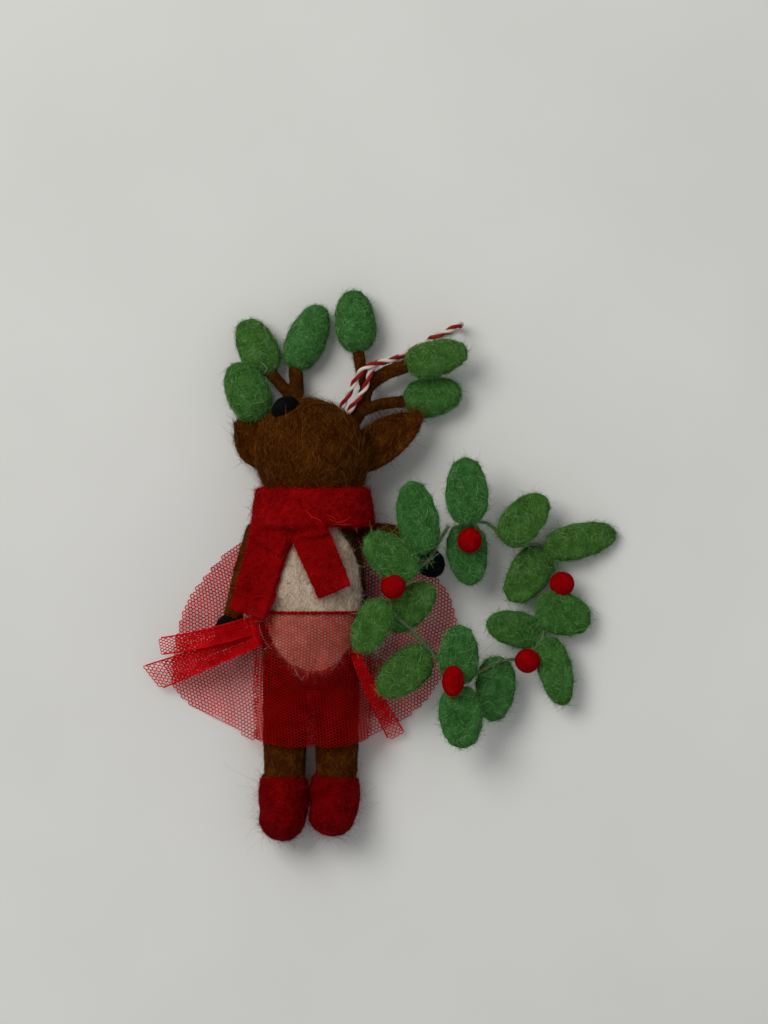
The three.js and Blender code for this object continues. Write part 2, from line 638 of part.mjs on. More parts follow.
function skirtPoint(u, v) {
  const edge = hem.getPoint(u);
  const turn = Math.PI * (0.5 + 2 * u);
  const ring = vec(
    BODY_X + ringRadius * Math.cos(turn),
    SKIRT_TOP_Y,
    BODY_LIFT - BODY_FLATTEN * ringRadius * Math.sin(turn),
  );
  ring.z = Math.max(ring.z, onTable);
  const place = ring.clone().lerp(edge, v);
  const out = Math.abs(place.x - BODY_X) - ringRadius;
  const wave = 0.5 - 0.5 * Math.cos(SKIRT_FOLDS * 2 * Math.PI * u);
  const fold = SKIRT_FOLD_HEIGHT * THREE.MathUtils.smoothstep(out, 1, 8) * wave * v;
  if (v === 0) return ring;
  if (place.y <= SKIRT_TOP_Y) return place.setZ(skirtHeight(place.x, place.y) + fold);
  const atWaist = out > 0 ? skirtHeight(place.x, SKIRT_TOP_Y) : ring.z;
  const fade = Math.exp((SKIRT_TOP_Y - place.y) / SKIRT_BACK_FALL);
  return place.setZ(onTable + (atWaist - onTable) * fade + fold);
}
const skirt = solidOf(sheet(skirtPoint, 60, 7, SKIRT_THICKNESS, true));
add(figure, 'tulle_skirt', cut(skirt, [below(0)]), TULLE_RED);

// Gather thread: a red line along the front of the waist, where the tulle is drawn in.
const gatherPoints = Array.from({ length: 9 }, (_, i) => {
  const turn = THREE.MathUtils.degToRad(mix(12, 168, i / 8));
  const radius = bodyRadius(WAIST_Y) + 2 * SEAT_GAP + PATCH_THICKNESS + GATHER_DIAMETER / 2;
  const lift = BODY_LIFT + (BODY_FLATTEN + 0.01) * radius * Math.sin(turn);
  return vec(BODY_X + radius * Math.cos(turn), WAIST_Y, lift);
});
add(figure, 'waist_gather', solidOf(tube(gatherPoints, GATHER_DIAMETER, 6, 20)), SCARF_RED);

// A tail hinges along the top edge of its start, so that it lifts off the belly freely.
function addTail(side, start, way, length, width, layer, droop) {
  const clear = tailClear + layer * (TAIL_THICKNESS + SEAT_GAP);
  const overSkirt = (x, y, z) => {
    const stack = y < WAIST_Y + GATHER_SHOULDER ? GATHER_DIAMETER + SKIRT_THICKNESS : 0;
    const skirtTop = stack ? overSkirtBy(x, SKIRT_TOP_Y, tailClear) + stack : 0;
    return Math.max(z, frontHeight(x, y, clear + stack), skirtTop);
  };
  const from = start.clone().addScaledVector(way, SEAT_GAP);
  const end = from.clone().addScaledVector(way, length);
  const startHeight = overFront(clear)(from.x, from.y, 0);
  const line = [from, from.clone().lerp(end, 0.5), end];
  line.forEach((p, i) => p.setZ(startHeight - (droop * i) / 2));
  const [leftEdge, rightEdge] = [0.5, -0.5].map((share) => {
    const corner = from.clone().addScaledVector(way.clone().cross(UP), share * (width + 0.8));
    return overSkirt(corner.x, corner.y, startHeight);
  });
  const hingeHeight = Math.max(startHeight, (leftEdge + rightEdge) / 2) + TAIL_THICKNESS / 2;
  const group = new THREE.Group();
  group.position.set(from.x, from.y, hingeHeight);
  figure.add(group);
  const tail = strip(line, width + 0.8, width, TAIL_THICKNESS, overSkirt);
  add(group, `scarf_tail_${side}`, cut(tail, [patchRoom, crossingRoom]), SCARF_RED);
  return group;
}
const crossingRoom = strip(
  [crossingTop, leftTailStart.clone().addScaledVector(leftTailWay, SEAT_GAP)],
  LEFT_TAIL_WIDTH + 2 + 2 * SEAT_GAP,
  LEFT_TAIL_WIDTH + 1 + 2 * SEAT_GAP,
  TAIL_THICKNESS + 2 * SEAT_GAP,
  overFront(tailClear),
  4,
);
const rightTailStart = vec(BODY_X - 0.5, SCARF_BOTTOM_Y - 2, 0);
addTail('left', leftTailStart, leftTailWay, LEFT_TAIL_LENGTH, LEFT_TAIL_WIDTH, 0, 1);
addTail('right', rightTailStart, rightTailWay, RIGHT_TAIL_LENGTH, RIGHT_TAIL_WIDTH, 1, 0);

// Ties: strips of tulle knotted at the hips. The left pair stands out over the hoof to the table.
const tieClear = SKIRT_THICKNESS / 2 + SEAT_GAP + DRAPE_SLACK + TIE_THICKNESS / 2;
const TIE_LAYER = TIE_THICKNESS + 2 * SEAT_GAP;
const hipLift = skirtHeight(-30.75, -17.5) + tieClear;
const lowTie = TIE_THICKNESS / 2 + 0.2;
const tieUpper = [
  vec(-32.4, -15.6, hipLift + TIE_LAYER), vec(-40, -17.3, hipLift),
  vec(-48.5, -19.3, hipLift - 5), vec(-55.2, -20.4, 5),
];
const tieLower = [
  vec(-31.6, -19.3, hipLift - 0.5), vec(-41, -22, hipLift - 4),
  vec(-49.5, -25.4, hipLift - 8.5), vec(-57.3, -28.3, lowTie + 1.2),
];
const tieRight = [vec(-4.4, -23), vec(-3.3, -28), vec(-0.6, -35), vec(4, -43.2)];
const onSkirt = (x, y, z) =>
  Math.max(z, overSkirtBy(x, Math.min(y, SKIRT_TOP_Y), tieClear) + SKIRT_FOLD_HEIGHT);
add(figure, 'tie_left_upper', strip(tieUpper, 3.4, 4.4, TIE_THICKNESS, onSkirt, 12, 2), TULLE_RED);
add(figure, 'tie_left_lower', strip(tieLower, 3.6, 7, TIE_THICKNESS, onSkirt, 12, 2), TULLE_RED);
add(figure, 'tie_right', strip(tieRight, 4.2, 5.8, TIE_THICKNESS, onSkirt, 14, 2), TULLE_RED);

// Hanging loop: one length of twine out of the crown, over the right antler and back again. Its places
// are counted from the antler's root, and it lies on the table where it would sink below.
const twineFrom = onHead(ANTLERS[1].rootWay, POD_BITE);
const twineRest = TWINE_DIAMETER / 2 + PRESSED_FLAT / 4;
const loopPoints = [
  [-1.59, 4.69, 1.59], [-0.39, 7.35, 1.94], [1.21, 10.35, 2.94], [2.61, 13.15, 4.14],
  [4.61, 16.05, 5.04], [7.91, 17.55, 4.54], [11.01, 18.15, 3.34], [13.61, 19.15, 1.74],
  [16.01, 20.35, -0.26], [18.41, 21.75, -1.56], [20.21, 22.95, -0.96], [21.71, 23.85, 0.44],
  [23.51, 24.75, 2.14], [25.81, 25.75, 2.79], [28.11, 26.85, 1.74], [29.05, 27.31, -0.81],
  [28.11, 26.85, -3.36], [25.81, 25.75, -4.41], [23.31, 24.55, -4.41], [20.81, 23.35, -4.36],
  [18.51, 21.95, -3.96], [16.11, 20.45, -2.56], [13.81, 19.25, -0.56], [11.21, 18.45, 1.04],
  [8.31, 17.75, 2.14], [6.41, 15.05, 4.14], [5.11, 11.65, 3.84], [3.41, 8.85, 3.24],
  [1.51, 6.25, 2.74], [-0.06, 3.75, 1.72],
].map(([x, y, z]) => vec(twineFrom.x + x, twineFrom.y + y, Math.max(twineFrom.z + z, twineRest)));
const loopShape = solidOf(tube(loopPoints, TWINE_DIAMETER, 8, 48));
const loop = add(figure, 'hanging_loop', cut(loopShape, [headShape(SEAT_GAP)]), TWINE);

// Wreath: leaves and berries along a bent wire that lies on the right hoof. Places are seen from above,
// counted from the hoof; the wreath's own plane is tilted, high over the body and low at the far side.
const wreath = new THREE.Group();
const hoofTop = armGroups.right.hoofMiddle.z + HOOF_WIDTH / 2;
const tiePoint = armGroups.right.hoofMiddle.clone().setZ(hoofTop + SEAT_GAP + WREATH_WIRE_DIAMETER / 2);
wreath.position.copy(tiePoint.clone().sub(armGroups.right.group.position));
wreath.rotation.y = THREE.MathUtils.degToRad(WREATH_TILT);
armGroups.right.group.add(wreath);
const onWreath = ([x, y], z = 0) => vec(x / Math.cos(wreath.rotation.y), y, z);

function addToWreath(name, solid, material) {
  const mesh = new THREE.Mesh(geometryOf(solid), material);
  mesh.name = name;
  wreath.add(mesh);
}

const wirePoints = [
  [9.2, 9.9], [14.75, 9.75], [18.25, 5.75], [24, 4.6],
  [29.6, 3.6], [32.2, -4.4], [28.2, -11.5], [28.6, -18.2],
  [23.4, -23.9], [17.8, -24.6], [10.75, -28.2], [6.2, -30.6], [1, -22.75], [-5.25, -16.25], [-10, -11.5],
  [-9.4, -6.4], [-4.4, -2.4], [-0.3, 0.6], [2, 4.6], [4.6, 9],
].map((p) => onWreath(p));
const wreathWire = (grow) => solidOf(tube(wirePoints, WREATH_WIRE_DIAMETER, 6, 50, grow));
addToWreath('wreath_wire', wreathWire(0), WIRE);

// A wreath leaf is a thick felt cutting with soft edges: round at its base and drawn to a blunt tip.
function leafShape(length, width, grow) {
  const half = width / 2 + grow;
  const end = length + grow;
  const outline = new THREE.Shape();
  outline.moveTo(0, -grow);
  outline.bezierCurveTo(0.5 * half, -grow, half, 0.18 * length, half, 0.45 * length);
  outline.bezierCurveTo(half, 0.72 * length, 0.42 * half, end, 0, end);
  outline.bezierCurveTo(-0.42 * half, end, -half, 0.72 * length, -half, 0.45 * length);
  outline.bezierCurveTo(-half, 0.18 * length, -0.5 * half, -grow, 0, -grow);
  const thickness = WREATH_LEAF_THICKNESS + 2 * grow;
  return new THREE.ExtrudeGeometry(outline, {
    depth: thickness - 2 * LEAF_EDGE,
    bevelSize: LEAF_EDGE,
    bevelOffset: -LEAF_EDGE,
    bevelThickness: LEAF_EDGE,
    bevelSegments: 1,
    curveSegments: 3,
  }).translate(0, 0, LEAF_EDGE - thickness / 2);
}

// Each leaf: base, tip, width, and 1 over the wire or -1 under it.
const WREATH_LEAVES = [
  [[-2, 2.5], [-5.5, 20.1], 10.5, 1], [[8.9, 9.5], [8.2, 26], 10.9, 1],
  [[9.2, 9.8], [10.9, -5.6], 10.4, -1],
  [[17.75, 5.25], [28.2, 16.2], 10, 1], [[28.4, 3.5], [46, 7.3], 8.6, 1],
  [[30, 3.3], [20.75, -9.5], 10.5, -1],
  [[26.2, -11], [39.5, -15], 10.5, 1], [[29.2, -18.4], [15, -15], 8.8, -1],
  [[28.7, -19], [33.1, -35.7], 8.4, 1],
  [[17.75, -23.8], [16.3, -39.7], 10.1, -1],
  [[6.4, -30.4], [6.9, -15.75], 10.1, 1], [[6.4, -31], [7.9, -46.2], 11.3, 1],
  [[0.5, -22.4], [-11.9, -32.3], 10.2, -1],
  [[-10, -15.6], [1.4, -6.1], 9.5, -1], [[-11.8, -9.5], [-18.3, -22], 8.8, 1],
  [[-4.5, -3.2], [-16.4, 6.2], 10, 1],
];
const leafLift = WREATH_WIRE_DIAMETER / 2 + SEAT_GAP + WREATH_LEAF_THICKNESS / 2;
const leafSeats = [];
const wireSeat = wreathWire(SEAT_GAP);
WREATH_LEAVES.forEach(([base, tip, width, side], i) => {
  const from = onWreath(base, side * leafLift);
  const way = onWreath(tip, side * leafLift).sub(from);
  const shape = (grow) => solidOf(set(leafShape(way.length(), width, grow), from, way));
  const seats = leafSeats.filter((seat) => seat.side === side).map((seat) => seat.solid);
  addToWreath(`wreath_leaf_${i + 1}`, cut(shape(0), [...seats, wireSeat]), LEAF_GREEN);
  leafSeats.push({ side, solid: shape(SEAT_GAP) });
});

// Berries: felt balls pressed onto a leaf or onto the wire.
const leafTop = leafLift + WREATH_LEAF_THICKNESS / 2;
const UNDER_TOP = WREATH_LEAF_THICKNESS / 2 - leafLift;
const BERRIES = [
  { at: [9.35, 5.5], seat: UNDER_TOP, stretch: 1 },
  { at: [32.3, -5.4], seat: 0, stretch: 0.97 },
  { at: [23.6, -24.6], seat: 0, stretch: 0.97 },
  { at: [3.9, -29.5], seat: leafTop, stretch: 1.25 },
  { at: [-10, -5.9], seat: 0, stretch: 1 },
];
const BERRY_SINK = 0.25;
BERRIES.forEach(({ at, seat, stretch }, i) => {
  const radius = BERRY_DIAMETER / 2;
  const middle = onWreath(at, seat + radius * (1 - BERRY_SINK));
  const form = { radius: radius / Math.sqrt(stretch), back: radius * stretch, front: radius * stretch };
  const berry = solidOf(set(egg(form, 0, 10, 8), middle, TOWARDS_HEAD));
  addToWreath(`berry_${i + 1}`, cut(berry, [...leafSeats.map((leaf) => leaf.solid), wireSeat]), BERRY_RED);
});

// Tie thread: a white thread over the wire, glued down to the hoof on both sides.
const threadReach = WREATH_WIRE_DIAMETER / 2 + SEAT_GAP + TIE_THREAD_DIAMETER / 2;
const threadPoints = [
  vec(0.9, -1.35, -0.45), vec(0.5, -0.75, 0.3), vec(-0.3, 0.6, threadReach),
  vec(-1.1, 1.75, 0.3), vec(-1.5, 2.2, -0.4),
];
const thread = solidOf(tube(threadPoints, TIE_THREAD_DIAMETER, 6, 8));
const threadRoom = leafSeats.map((leaf) => leaf.solid);
addToWreath('wreath_thread', cut(thread, [...threadRoom, wireSeat]), THREAD);

// The origin is the middle of the underside, without the loose twine.
const reach = new THREE.Box3();
figure.updateMatrixWorld(true);
figure.traverse((piece) => {
  if (piece.isMesh && piece !== loop) reach.expandByObject(piece, true);
});
const middle = reach.getCenter(new THREE.Vector3());
figure.position.set(-middle.x, -middle.y, -reach.min.z);

const ornament = new THREE.Group();
ornament.add(figure);
export default ornament;
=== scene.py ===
import math

import bpy
import numpy as np
from mathutils import Matrix, Vector
from mathutils.bvhtree import BVHTree


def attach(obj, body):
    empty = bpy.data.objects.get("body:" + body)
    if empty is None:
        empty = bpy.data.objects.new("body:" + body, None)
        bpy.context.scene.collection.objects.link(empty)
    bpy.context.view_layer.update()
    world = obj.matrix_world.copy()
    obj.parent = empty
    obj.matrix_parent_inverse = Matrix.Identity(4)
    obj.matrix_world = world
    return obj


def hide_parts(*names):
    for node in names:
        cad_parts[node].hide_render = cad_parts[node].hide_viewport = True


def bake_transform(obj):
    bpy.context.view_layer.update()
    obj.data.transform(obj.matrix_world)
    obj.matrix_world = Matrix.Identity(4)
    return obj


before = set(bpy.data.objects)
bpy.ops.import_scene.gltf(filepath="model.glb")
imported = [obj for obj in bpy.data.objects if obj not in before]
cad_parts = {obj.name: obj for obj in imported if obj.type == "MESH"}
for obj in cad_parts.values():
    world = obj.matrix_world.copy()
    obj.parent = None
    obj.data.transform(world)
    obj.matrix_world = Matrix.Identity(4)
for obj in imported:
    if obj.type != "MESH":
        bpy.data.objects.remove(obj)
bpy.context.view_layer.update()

# The table is a smooth pale top, and the ornament lies on its back on it. A large soft lamp stands at
# the upper left, the room fills in the shade, and the camera looks straight down.
MM = 0.001
CAMERA_SPOT = (0.7 * MM, 13.31 * MM, 2.0)
SENSOR_WIDTH = 36
SEEN_LENGTH = 0.256
SEEN_FROM = 1.99
LAMP_SPOT = (-0.62, 0.52, 1.15)
LAMP_POWER = 11.6
ROOM_LIGHT = 0.44
scene = bpy.context.scene
scene.view_settings.view_transform = "Standard"


def linear(code):
    """An sRGB hex colour as linear red, green, blue and 1."""
    parts = [int(code[i:i + 2], 16) / 255 for i in (1, 3, 5)]
    return tuple(c / 12.92 if c <= 0.04045 else ((c + 0.055) / 1.055) ** 2.4 for c in parts) + (1.0,)


def add_node(tree, kind, inputs=(), **settings):
    """Adds a node with its settings; inputs are numbers, colours or the sockets that feed it."""
    made = tree.nodes.new(kind)
    for name, value in settings.items():
        setattr(made, name, value)
    for name, value in dict(inputs).items():
        if isinstance(value, bpy.types.NodeSocket):
            tree.links.new(value, made.inputs[name])
        else:
            made.inputs[name].default_value = value
    return made


def new_material(name):
    """An empty node material and its Principled shader."""
    material = bpy.data.materials.new(name)
    material.use_nodes = True
    return material, material.node_tree, material.node_tree.nodes["Principled BSDF"]


def set_inputs(node, values):
    """Sets several of a node's inputs to plain values."""
    for name, value in values.items():
        node.inputs[name].default_value = value


def ramp(tree, factor, *stops):
    """The colour of a ramp through stops, each a place from 0 to 1 and a hex colour."""
    made = add_node(tree, "ShaderNodeValToRGB", {"Fac": factor})
    bands = made.color_ramp.elements
    for band, (position, code) in zip(bands, (stops[0], stops[-1])):
        band.position = position
        band.color = linear(code)
    for position, code in stops[1:-1]:
        bands.new(position).color = linear(code)
    return made.outputs["Color"]


def mottle(tree, shader, scale, detail, *stops):
    """Colours a material by a noise of this scale, through the stops of a ramp."""
    where = add_node(tree, "ShaderNodeTexCoord")
    noise = add_node(tree, "ShaderNodeTexNoise", {
        "Vector": where.outputs["Object"], "Scale": scale, "Detail": detail,
    })
    tree.links.new(ramp(tree, noise.outputs["Fac"], *stops), shader.inputs["Base Color"])


bpy.ops.object.select_all(action="DESELECT")
bpy.ops.object.camera_add(location=CAMERA_SPOT, rotation=(0, 0, 0))
camera = bpy.context.object
camera.data.sensor_width = SENSOR_WIDTH
camera.data.lens = SENSOR_WIDTH * SEEN_FROM / SEEN_LENGTH
scene.camera = camera

bpy.ops.mesh.primitive_plane_add(size=12, location=(0, 0, 0))
table = bpy.context.object
table.name = "table_top"
laminate, tree, shader = new_material("white_laminate_table")
mottle(tree, shader, 14, 3, (0.3, "#D2D1CD"), (0.7, "#D8D7D3"))
set_inputs(shader, {"Roughness": 0.5, "Specular IOR Level": 0.25})
table.data.materials.append(laminate)

bpy.ops.object.light_add(type="AREA", location=LAMP_SPOT)
lamp = bpy.context.object
lamp.data.size = 0.75
lamp.data.energy = LAMP_POWER
lamp.data.color = (1.0, 0.985, 0.96)
lamp.rotation_euler = (-Vector(lamp.location)).to_track_quat("-Z", "Y").to_euler()

world = bpy.data.worlds.new("room")
scene.world = world
world.use_nodes = True
tree = world.node_tree
room = tree.nodes["Background"]
set_inputs(room, {"Color": (0.95, 0.98, 1.0, 1), "Strength": ROOM_LIGHT})
path = add_node(tree, "ShaderNodeLightPath")
plain = add_node(tree, "ShaderNodeBackground", {"Color": linear("#D6D5D1"), "Strength": 1.0})
both = add_node(tree, "ShaderNodeMixShader", {
    0: path.outputs["Is Camera Ray"], 1: room.outputs["Background"], 2: plain.outputs["Background"],
})
tree.links.new(both.outputs["Shader"], tree.nodes["World Output"].inputs["Surface"])

# The hanging loop is baker's twine: a red and a white cotton ply laid round each other. Both its ends
# go into the crown, and it lies over the right antler, past the leaf and back beneath itself.
TWINE_ROUTE = [
    (-10.70, 37.60, 7.05), (-9.50, 40.26, 7.40), (-7.90, 43.26, 8.40), (-6.50, 46.06, 9.60),
    (-4.50, 48.96, 10.50), (-1.20, 50.46, 10.00), (1.90, 51.06, 8.80), (4.50, 52.06, 7.20),
    (6.90, 53.26, 5.20), (9.30, 54.66, 3.90), (11.10, 55.86, 4.50), (12.60, 56.76, 5.90),
    (14.40, 57.66, 7.60), (16.70, 58.66, 8.25), (19.00, 59.76, 7.20), (19.94, 60.22, 4.65),
    (19.00, 59.76, 2.10), (16.70, 58.66, 1.05), (14.20, 57.46, 1.05), (11.70, 56.26, 1.10),
    (9.40, 54.86, 1.50), (7.00, 53.36, 2.90), (4.70, 52.16, 4.90), (2.10, 51.36, 6.50),
    (-0.80, 50.66, 7.60), (-2.70, 47.96, 9.60), (-4.00, 44.56, 9.30), (-5.70, 41.76, 8.70),
    (-7.60, 39.16, 8.20), (-9.17, 36.66, 7.18),
]
TWINE_PLY = 0.47
TWINE_PLY_OFFSET = 0.36
TWINE_LAY = 6.4
TWINE_SIDES = 20


def smooth_line(points, step):
    """A smooth line through the points, given again at an even step."""
    points = np.array(points, float)
    knots = np.concatenate([[0], np.cumsum(np.sqrt(np.linalg.norm(np.diff(points, axis=0), axis=1)))])
    slopes = np.gradient(points, knots, axis=0)
    dense = []
    for i in range(len(points) - 1):
        gap = knots[i + 1] - knots[i]
        for s in np.linspace(0, 1, 40, endpoint=False):
            dense.append(
                (2 * s**3 - 3 * s**2 + 1) * points[i] + (s**3 - 2 * s**2 + s) * gap * slopes[i]
                + (3 * s**2 - 2 * s**3) * points[i + 1] + (s**3 - s**2) * gap * slopes[i + 1]
            )
    dense = np.array(dense + [points[-1]])
    along = np.concatenate([[0], np.cumsum(np.linalg.norm(np.diff(dense, axis=0), axis=1))])
    count = max(2, int(round(along[-1] / step)))
    wanted = np.linspace(0, along[-1], count + 1)
    return np.stack([np.interp(wanted, along, dense[:, k]) for k in range(3)], axis=1), along[-1]


def carried_frames(line):
    """Two directions square to the line at each of its points, carried along without twist."""
    tangents = np.gradient(line, axis=0)
    tangents /= np.linalg.norm(tangents, axis=1)[:, None]
    side = np.cross(tangents[0], (0.3, 0.1, 1.0))
    sides = []
    for tangent in tangents:
        side = side - tangent * side.dot(tangent)
        side = side / np.linalg.norm(side)
        sides.append(side)
    sides = np.array(sides)
    return sides, np.cross(tangents, sides)


def placed(name, mesh):
    """A new piece in the scene with this mesh."""
    piece = bpy.data.objects.new(name, mesh)
    scene.collection.objects.link(piece)
    return piece


def thread_tube(name, line, outlines, turns):
    """A closed tube along a line: at each point an outline of radii, turned by an angle."""
    sides, ups = carried_frames(line)
    around = outlines.shape[1]
    angles = np.arange(around) / around * 2 * math.pi
    spots = []
    for point, side, up, radii, turn in zip(line, sides, ups, outlines, turns):
        aside, above = radii * np.cos(angles + turn), radii * np.sin(angles + turn)
        spots.append(point + np.outer(aside, side) + np.outer(above, up))
    spots = np.concatenate(spots + [line[:1], line[-1:]]) * MM
    last = (len(line) - 1) * around
    faces = []
    for j in range(len(line) - 1):
        for k in range(around):
            a, b = j * around + k, j * around + (k + 1) % around
            faces.append((a, b, b + around, a + around))
    for k in range(around):
        faces.append(((k + 1) % around, k, len(spots) - 2))
        faces.append((last + k, last + (k + 1) % around, len(spots) - 1))
    mesh = bpy.data.meshes.new(name)
    mesh.from_pydata(spots.tolist(), [], faces)
    lay = mesh.uv_layers.new(name="lay")
    for polygon in mesh.polygons:
        columns = [mesh.loops[i].vertex_index % around for i in polygon.loop_indices]
        wraps = max(columns) - min(columns) > 1
        for i, column in zip(polygon.loop_indices, columns):
            row = min(mesh.loops[i].vertex_index // around, len(line) - 1)
            lay.data[i].uv = ((around if wraps and column == 0 else column) / around, row / len(line))
    return placed(name, mesh)


def pick(piece):
    """Makes this piece the only selected one, and the active one."""
    bpy.ops.object.select_all(action="DESELECT")
    piece.select_set(True)
    bpy.context.view_layer.objects.active = piece


twine_line, twine_length = smooth_line(TWINE_ROUTE, 0.25)
lobes = np.arange(TWINE_SIDES) / TWINE_SIDES * 2 * math.pi
twine_outline = TWINE_PLY_OFFSET * np.abs(np.cos(lobes)) + np.sqrt(
    TWINE_PLY**2 - (TWINE_PLY_OFFSET * np.sin(lobes)) ** 2
)
twine_turns = np.linspace(0, twine_length, len(twine_line)) / TWINE_LAY * 2 * math.pi
twine_outlines = np.tile(twine_outline, (len(twine_line), 1))
twine = thread_tube("hanging_twine", twine_line, twine_outlines, twine_turns)
pick(twine)
bpy.ops.object.shade_smooth()

# Cotton is matt: fine yarn strands run along each ply. The groove between the plies is painted darker as
# painted shade, and each ply is painted lighter along its crown as a painted highlight. The dye is in the
# yarn before the plies are twisted, so each ply keeps its colour all along.
cotton, tree, shader = new_material("red_and_white_cotton_twine")
lay = add_node(tree, "ShaderNodeUVMap", uv_map="lay")
apart = add_node(tree, "ShaderNodeSeparateXYZ", {"Vector": lay.outputs["UV"]})
# Painted shade: the stops at 0.25 and 0.75 darken the grooves. The lighter stops at 0, 0.5 and 1 are a
# painted highlight on each ply's crown.
plies = ramp(
    tree, apart.outputs["X"], (0, "#931022"), (0.2, "#8E1022"), (0.25, "#6E2A2E"), (0.3, "#C6BAAC"),
    (0.5, "#DED5C8"), (0.7, "#C6BAAC"), (0.75, "#6E2A2E"), (0.8, "#8E1022"), (1, "#931022"),
)
slanted = add_node(tree, "ShaderNodeMapping", {
    "Vector": lay.outputs["UV"], "Scale": (26, 160, 1), "Rotation": (0, 0, 0.5),
})
strands = add_node(tree, "ShaderNodeTexNoise", {
    "Vector": slanted.outputs["Vector"], "Scale": 1, "Detail": 3,
})
worn = add_node(tree, "ShaderNodeMix", {
    "Factor": strands.outputs["Fac"], "A": plies, "B": linear("#8C7A74"),
}, data_type="RGBA", blend_type="SOFT_LIGHT")
tree.links.new(worn.outputs[2], shader.inputs["Base Color"])
raised = add_node(tree, "ShaderNodeBump", {
    "Height": strands.outputs["Fac"], "Strength": 0.5, "Distance": 0.1 * MM,
})
tree.links.new(raised.outputs["Normal"], shader.inputs["Normal"])
set_inputs(shader, {"Roughness": 0.9, "Specular IOR Level": 0.2})
twine.data.materials.append(cotton)
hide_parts("hanging_loop")
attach(twine, "figure")

# Head, body, ears, arms and legs are needle-felted wool: firm stuffed forms, a little lumpy, with a skin
# of matted fibres. Two brown wools are mixed in it, and loose golden fibres stand off the surface.
SIDES = ("left", "right")
FIBRE_ROOT = 0.06
TABLE_CLEARANCE = 0.03
lumps = bpy.data.textures.new("needle_lumps", "CLOUDS")
lumps.noise_scale = 3.2 * MM
lumps.noise_depth = 2


def finish_with(piece, kind, **settings):
    """Adds a modifier with its settings to the piece and applies it."""
    pick(piece)
    bpy.ops.object.modifier_add(type=kind)
    modifier = piece.modifiers[-1]
    for name, value in settings.items():
        setattr(modifier, name, value)
    bpy.ops.object.modifier_apply(modifier=modifier.name)


def edit_all(piece, operation, **settings):
    """Runs one edit operation on the whole of a piece."""
    pick(piece)
    bpy.ops.object.mode_set(mode="EDIT")
    bpy.ops.mesh.select_all(action="SELECT")
    operation(**settings)
    bpy.ops.object.mode_set(mode="OBJECT")


def working_copy(node, name):
    """A copy of a CAD solid at the origin, with its loose triangles merged."""
    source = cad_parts[node]
    piece = source.copy()
    piece.data = source.data.copy()
    piece.name = name
    for key in list(piece.keys()):
        del piece[key]
    piece.parent = None
    piece.matrix_world = Matrix.Identity(4)
    piece.data.materials.clear()
    scene.collection.objects.link(piece)
    piece.hide_render = False
    edit_all(piece, bpy.ops.mesh.remove_doubles, threshold=1e-6)
    return piece


def felt_over(piece, voxel, rounds, lump, swell=0.0):
    """Makes a piece felt: remeshed, smoothed, swollen a little and dented by the needle."""
    finish_with(piece, "REMESH", mode="VOXEL", voxel_size=voxel * MM)
    finish_with(piece, "SMOOTH", factor=0.5, iterations=rounds)
    if swell:
        finish_with(piece, "DISPLACE", strength=swell * MM, mid_level=0.0)
    finish_with(
        piece, "DISPLACE", texture=lumps, strength=lump * MM, mid_level=0.5, texture_coords="LOCAL"
    )
    pick(piece)
    bpy.ops.object.shade_smooth()


def felted(node, added=(), **look):
    """A CAD solid made felt; added pieces are felted into it."""
    piece = working_copy(node, node + "_felt")
    for part in added:
        part.select_set(True)
    if added:
        bpy.ops.object.join()
    felt_over(piece, **look)
    return piece


def felt_material(name, dark, middle, bright, fibre=0.8, patch=4.0, sheen=0.03):
    """Matted wool: curled streaks of two or three dye tones over broader patches, raised a little."""
    material, tree, shader = new_material(name)
    where = add_node(tree, "ShaderNodeTexCoord")
    streaks = add_node(tree, "ShaderNodeTexNoise", {
        "Vector": where.outputs["Object"], "Scale": 1 / (fibre * MM), "Detail": 4, "Roughness": 0.65,
        "Distortion": 2.6,
    })
    patches = add_node(tree, "ShaderNodeTexNoise", {
        "Vector": where.outputs["Object"], "Scale": 1 / (patch * MM), "Detail": 2,
    })
    mixed = add_node(tree, "ShaderNodeMix", {
        "Factor": 0.38, "A": streaks.outputs["Fac"], "B": patches.outputs["Fac"],
    })
    tones = ramp(tree, mixed.outputs[0], (0.34, dark), (0.5, middle), (0.68, bright))
    tree.links.new(tones, shader.inputs["Base Color"])
    matted = add_node(tree, "ShaderNodeBump", {
        "Height": streaks.outputs["Fac"], "Strength": 0.7, "Distance": 0.3 * MM,
    })
    tree.links.new(matted.outputs["Normal"], shader.inputs["Normal"])
    set_inputs(shader, {
        "Roughness": 0.95, "Specular IOR Level": 0.02, "Sheen Weight": sheen, "Sheen Roughness": 0.45,
        "Sheen Tint": linear(bright),
    })
    return material


def fibre_tones(name, codes):
    """One dyed tone for each kind of loose fibre; a fibre is too thin to show more than its dye."""
    made = []
    for i, code in enumerate(codes):
        material, tree, shader = new_material(f"{name}_{i + 1}")
        set_inputs(shader, {"Base Color": linear(code), "Roughness": 0.8, "Specular IOR Level": 0.04})
        made.append(material)
    return made


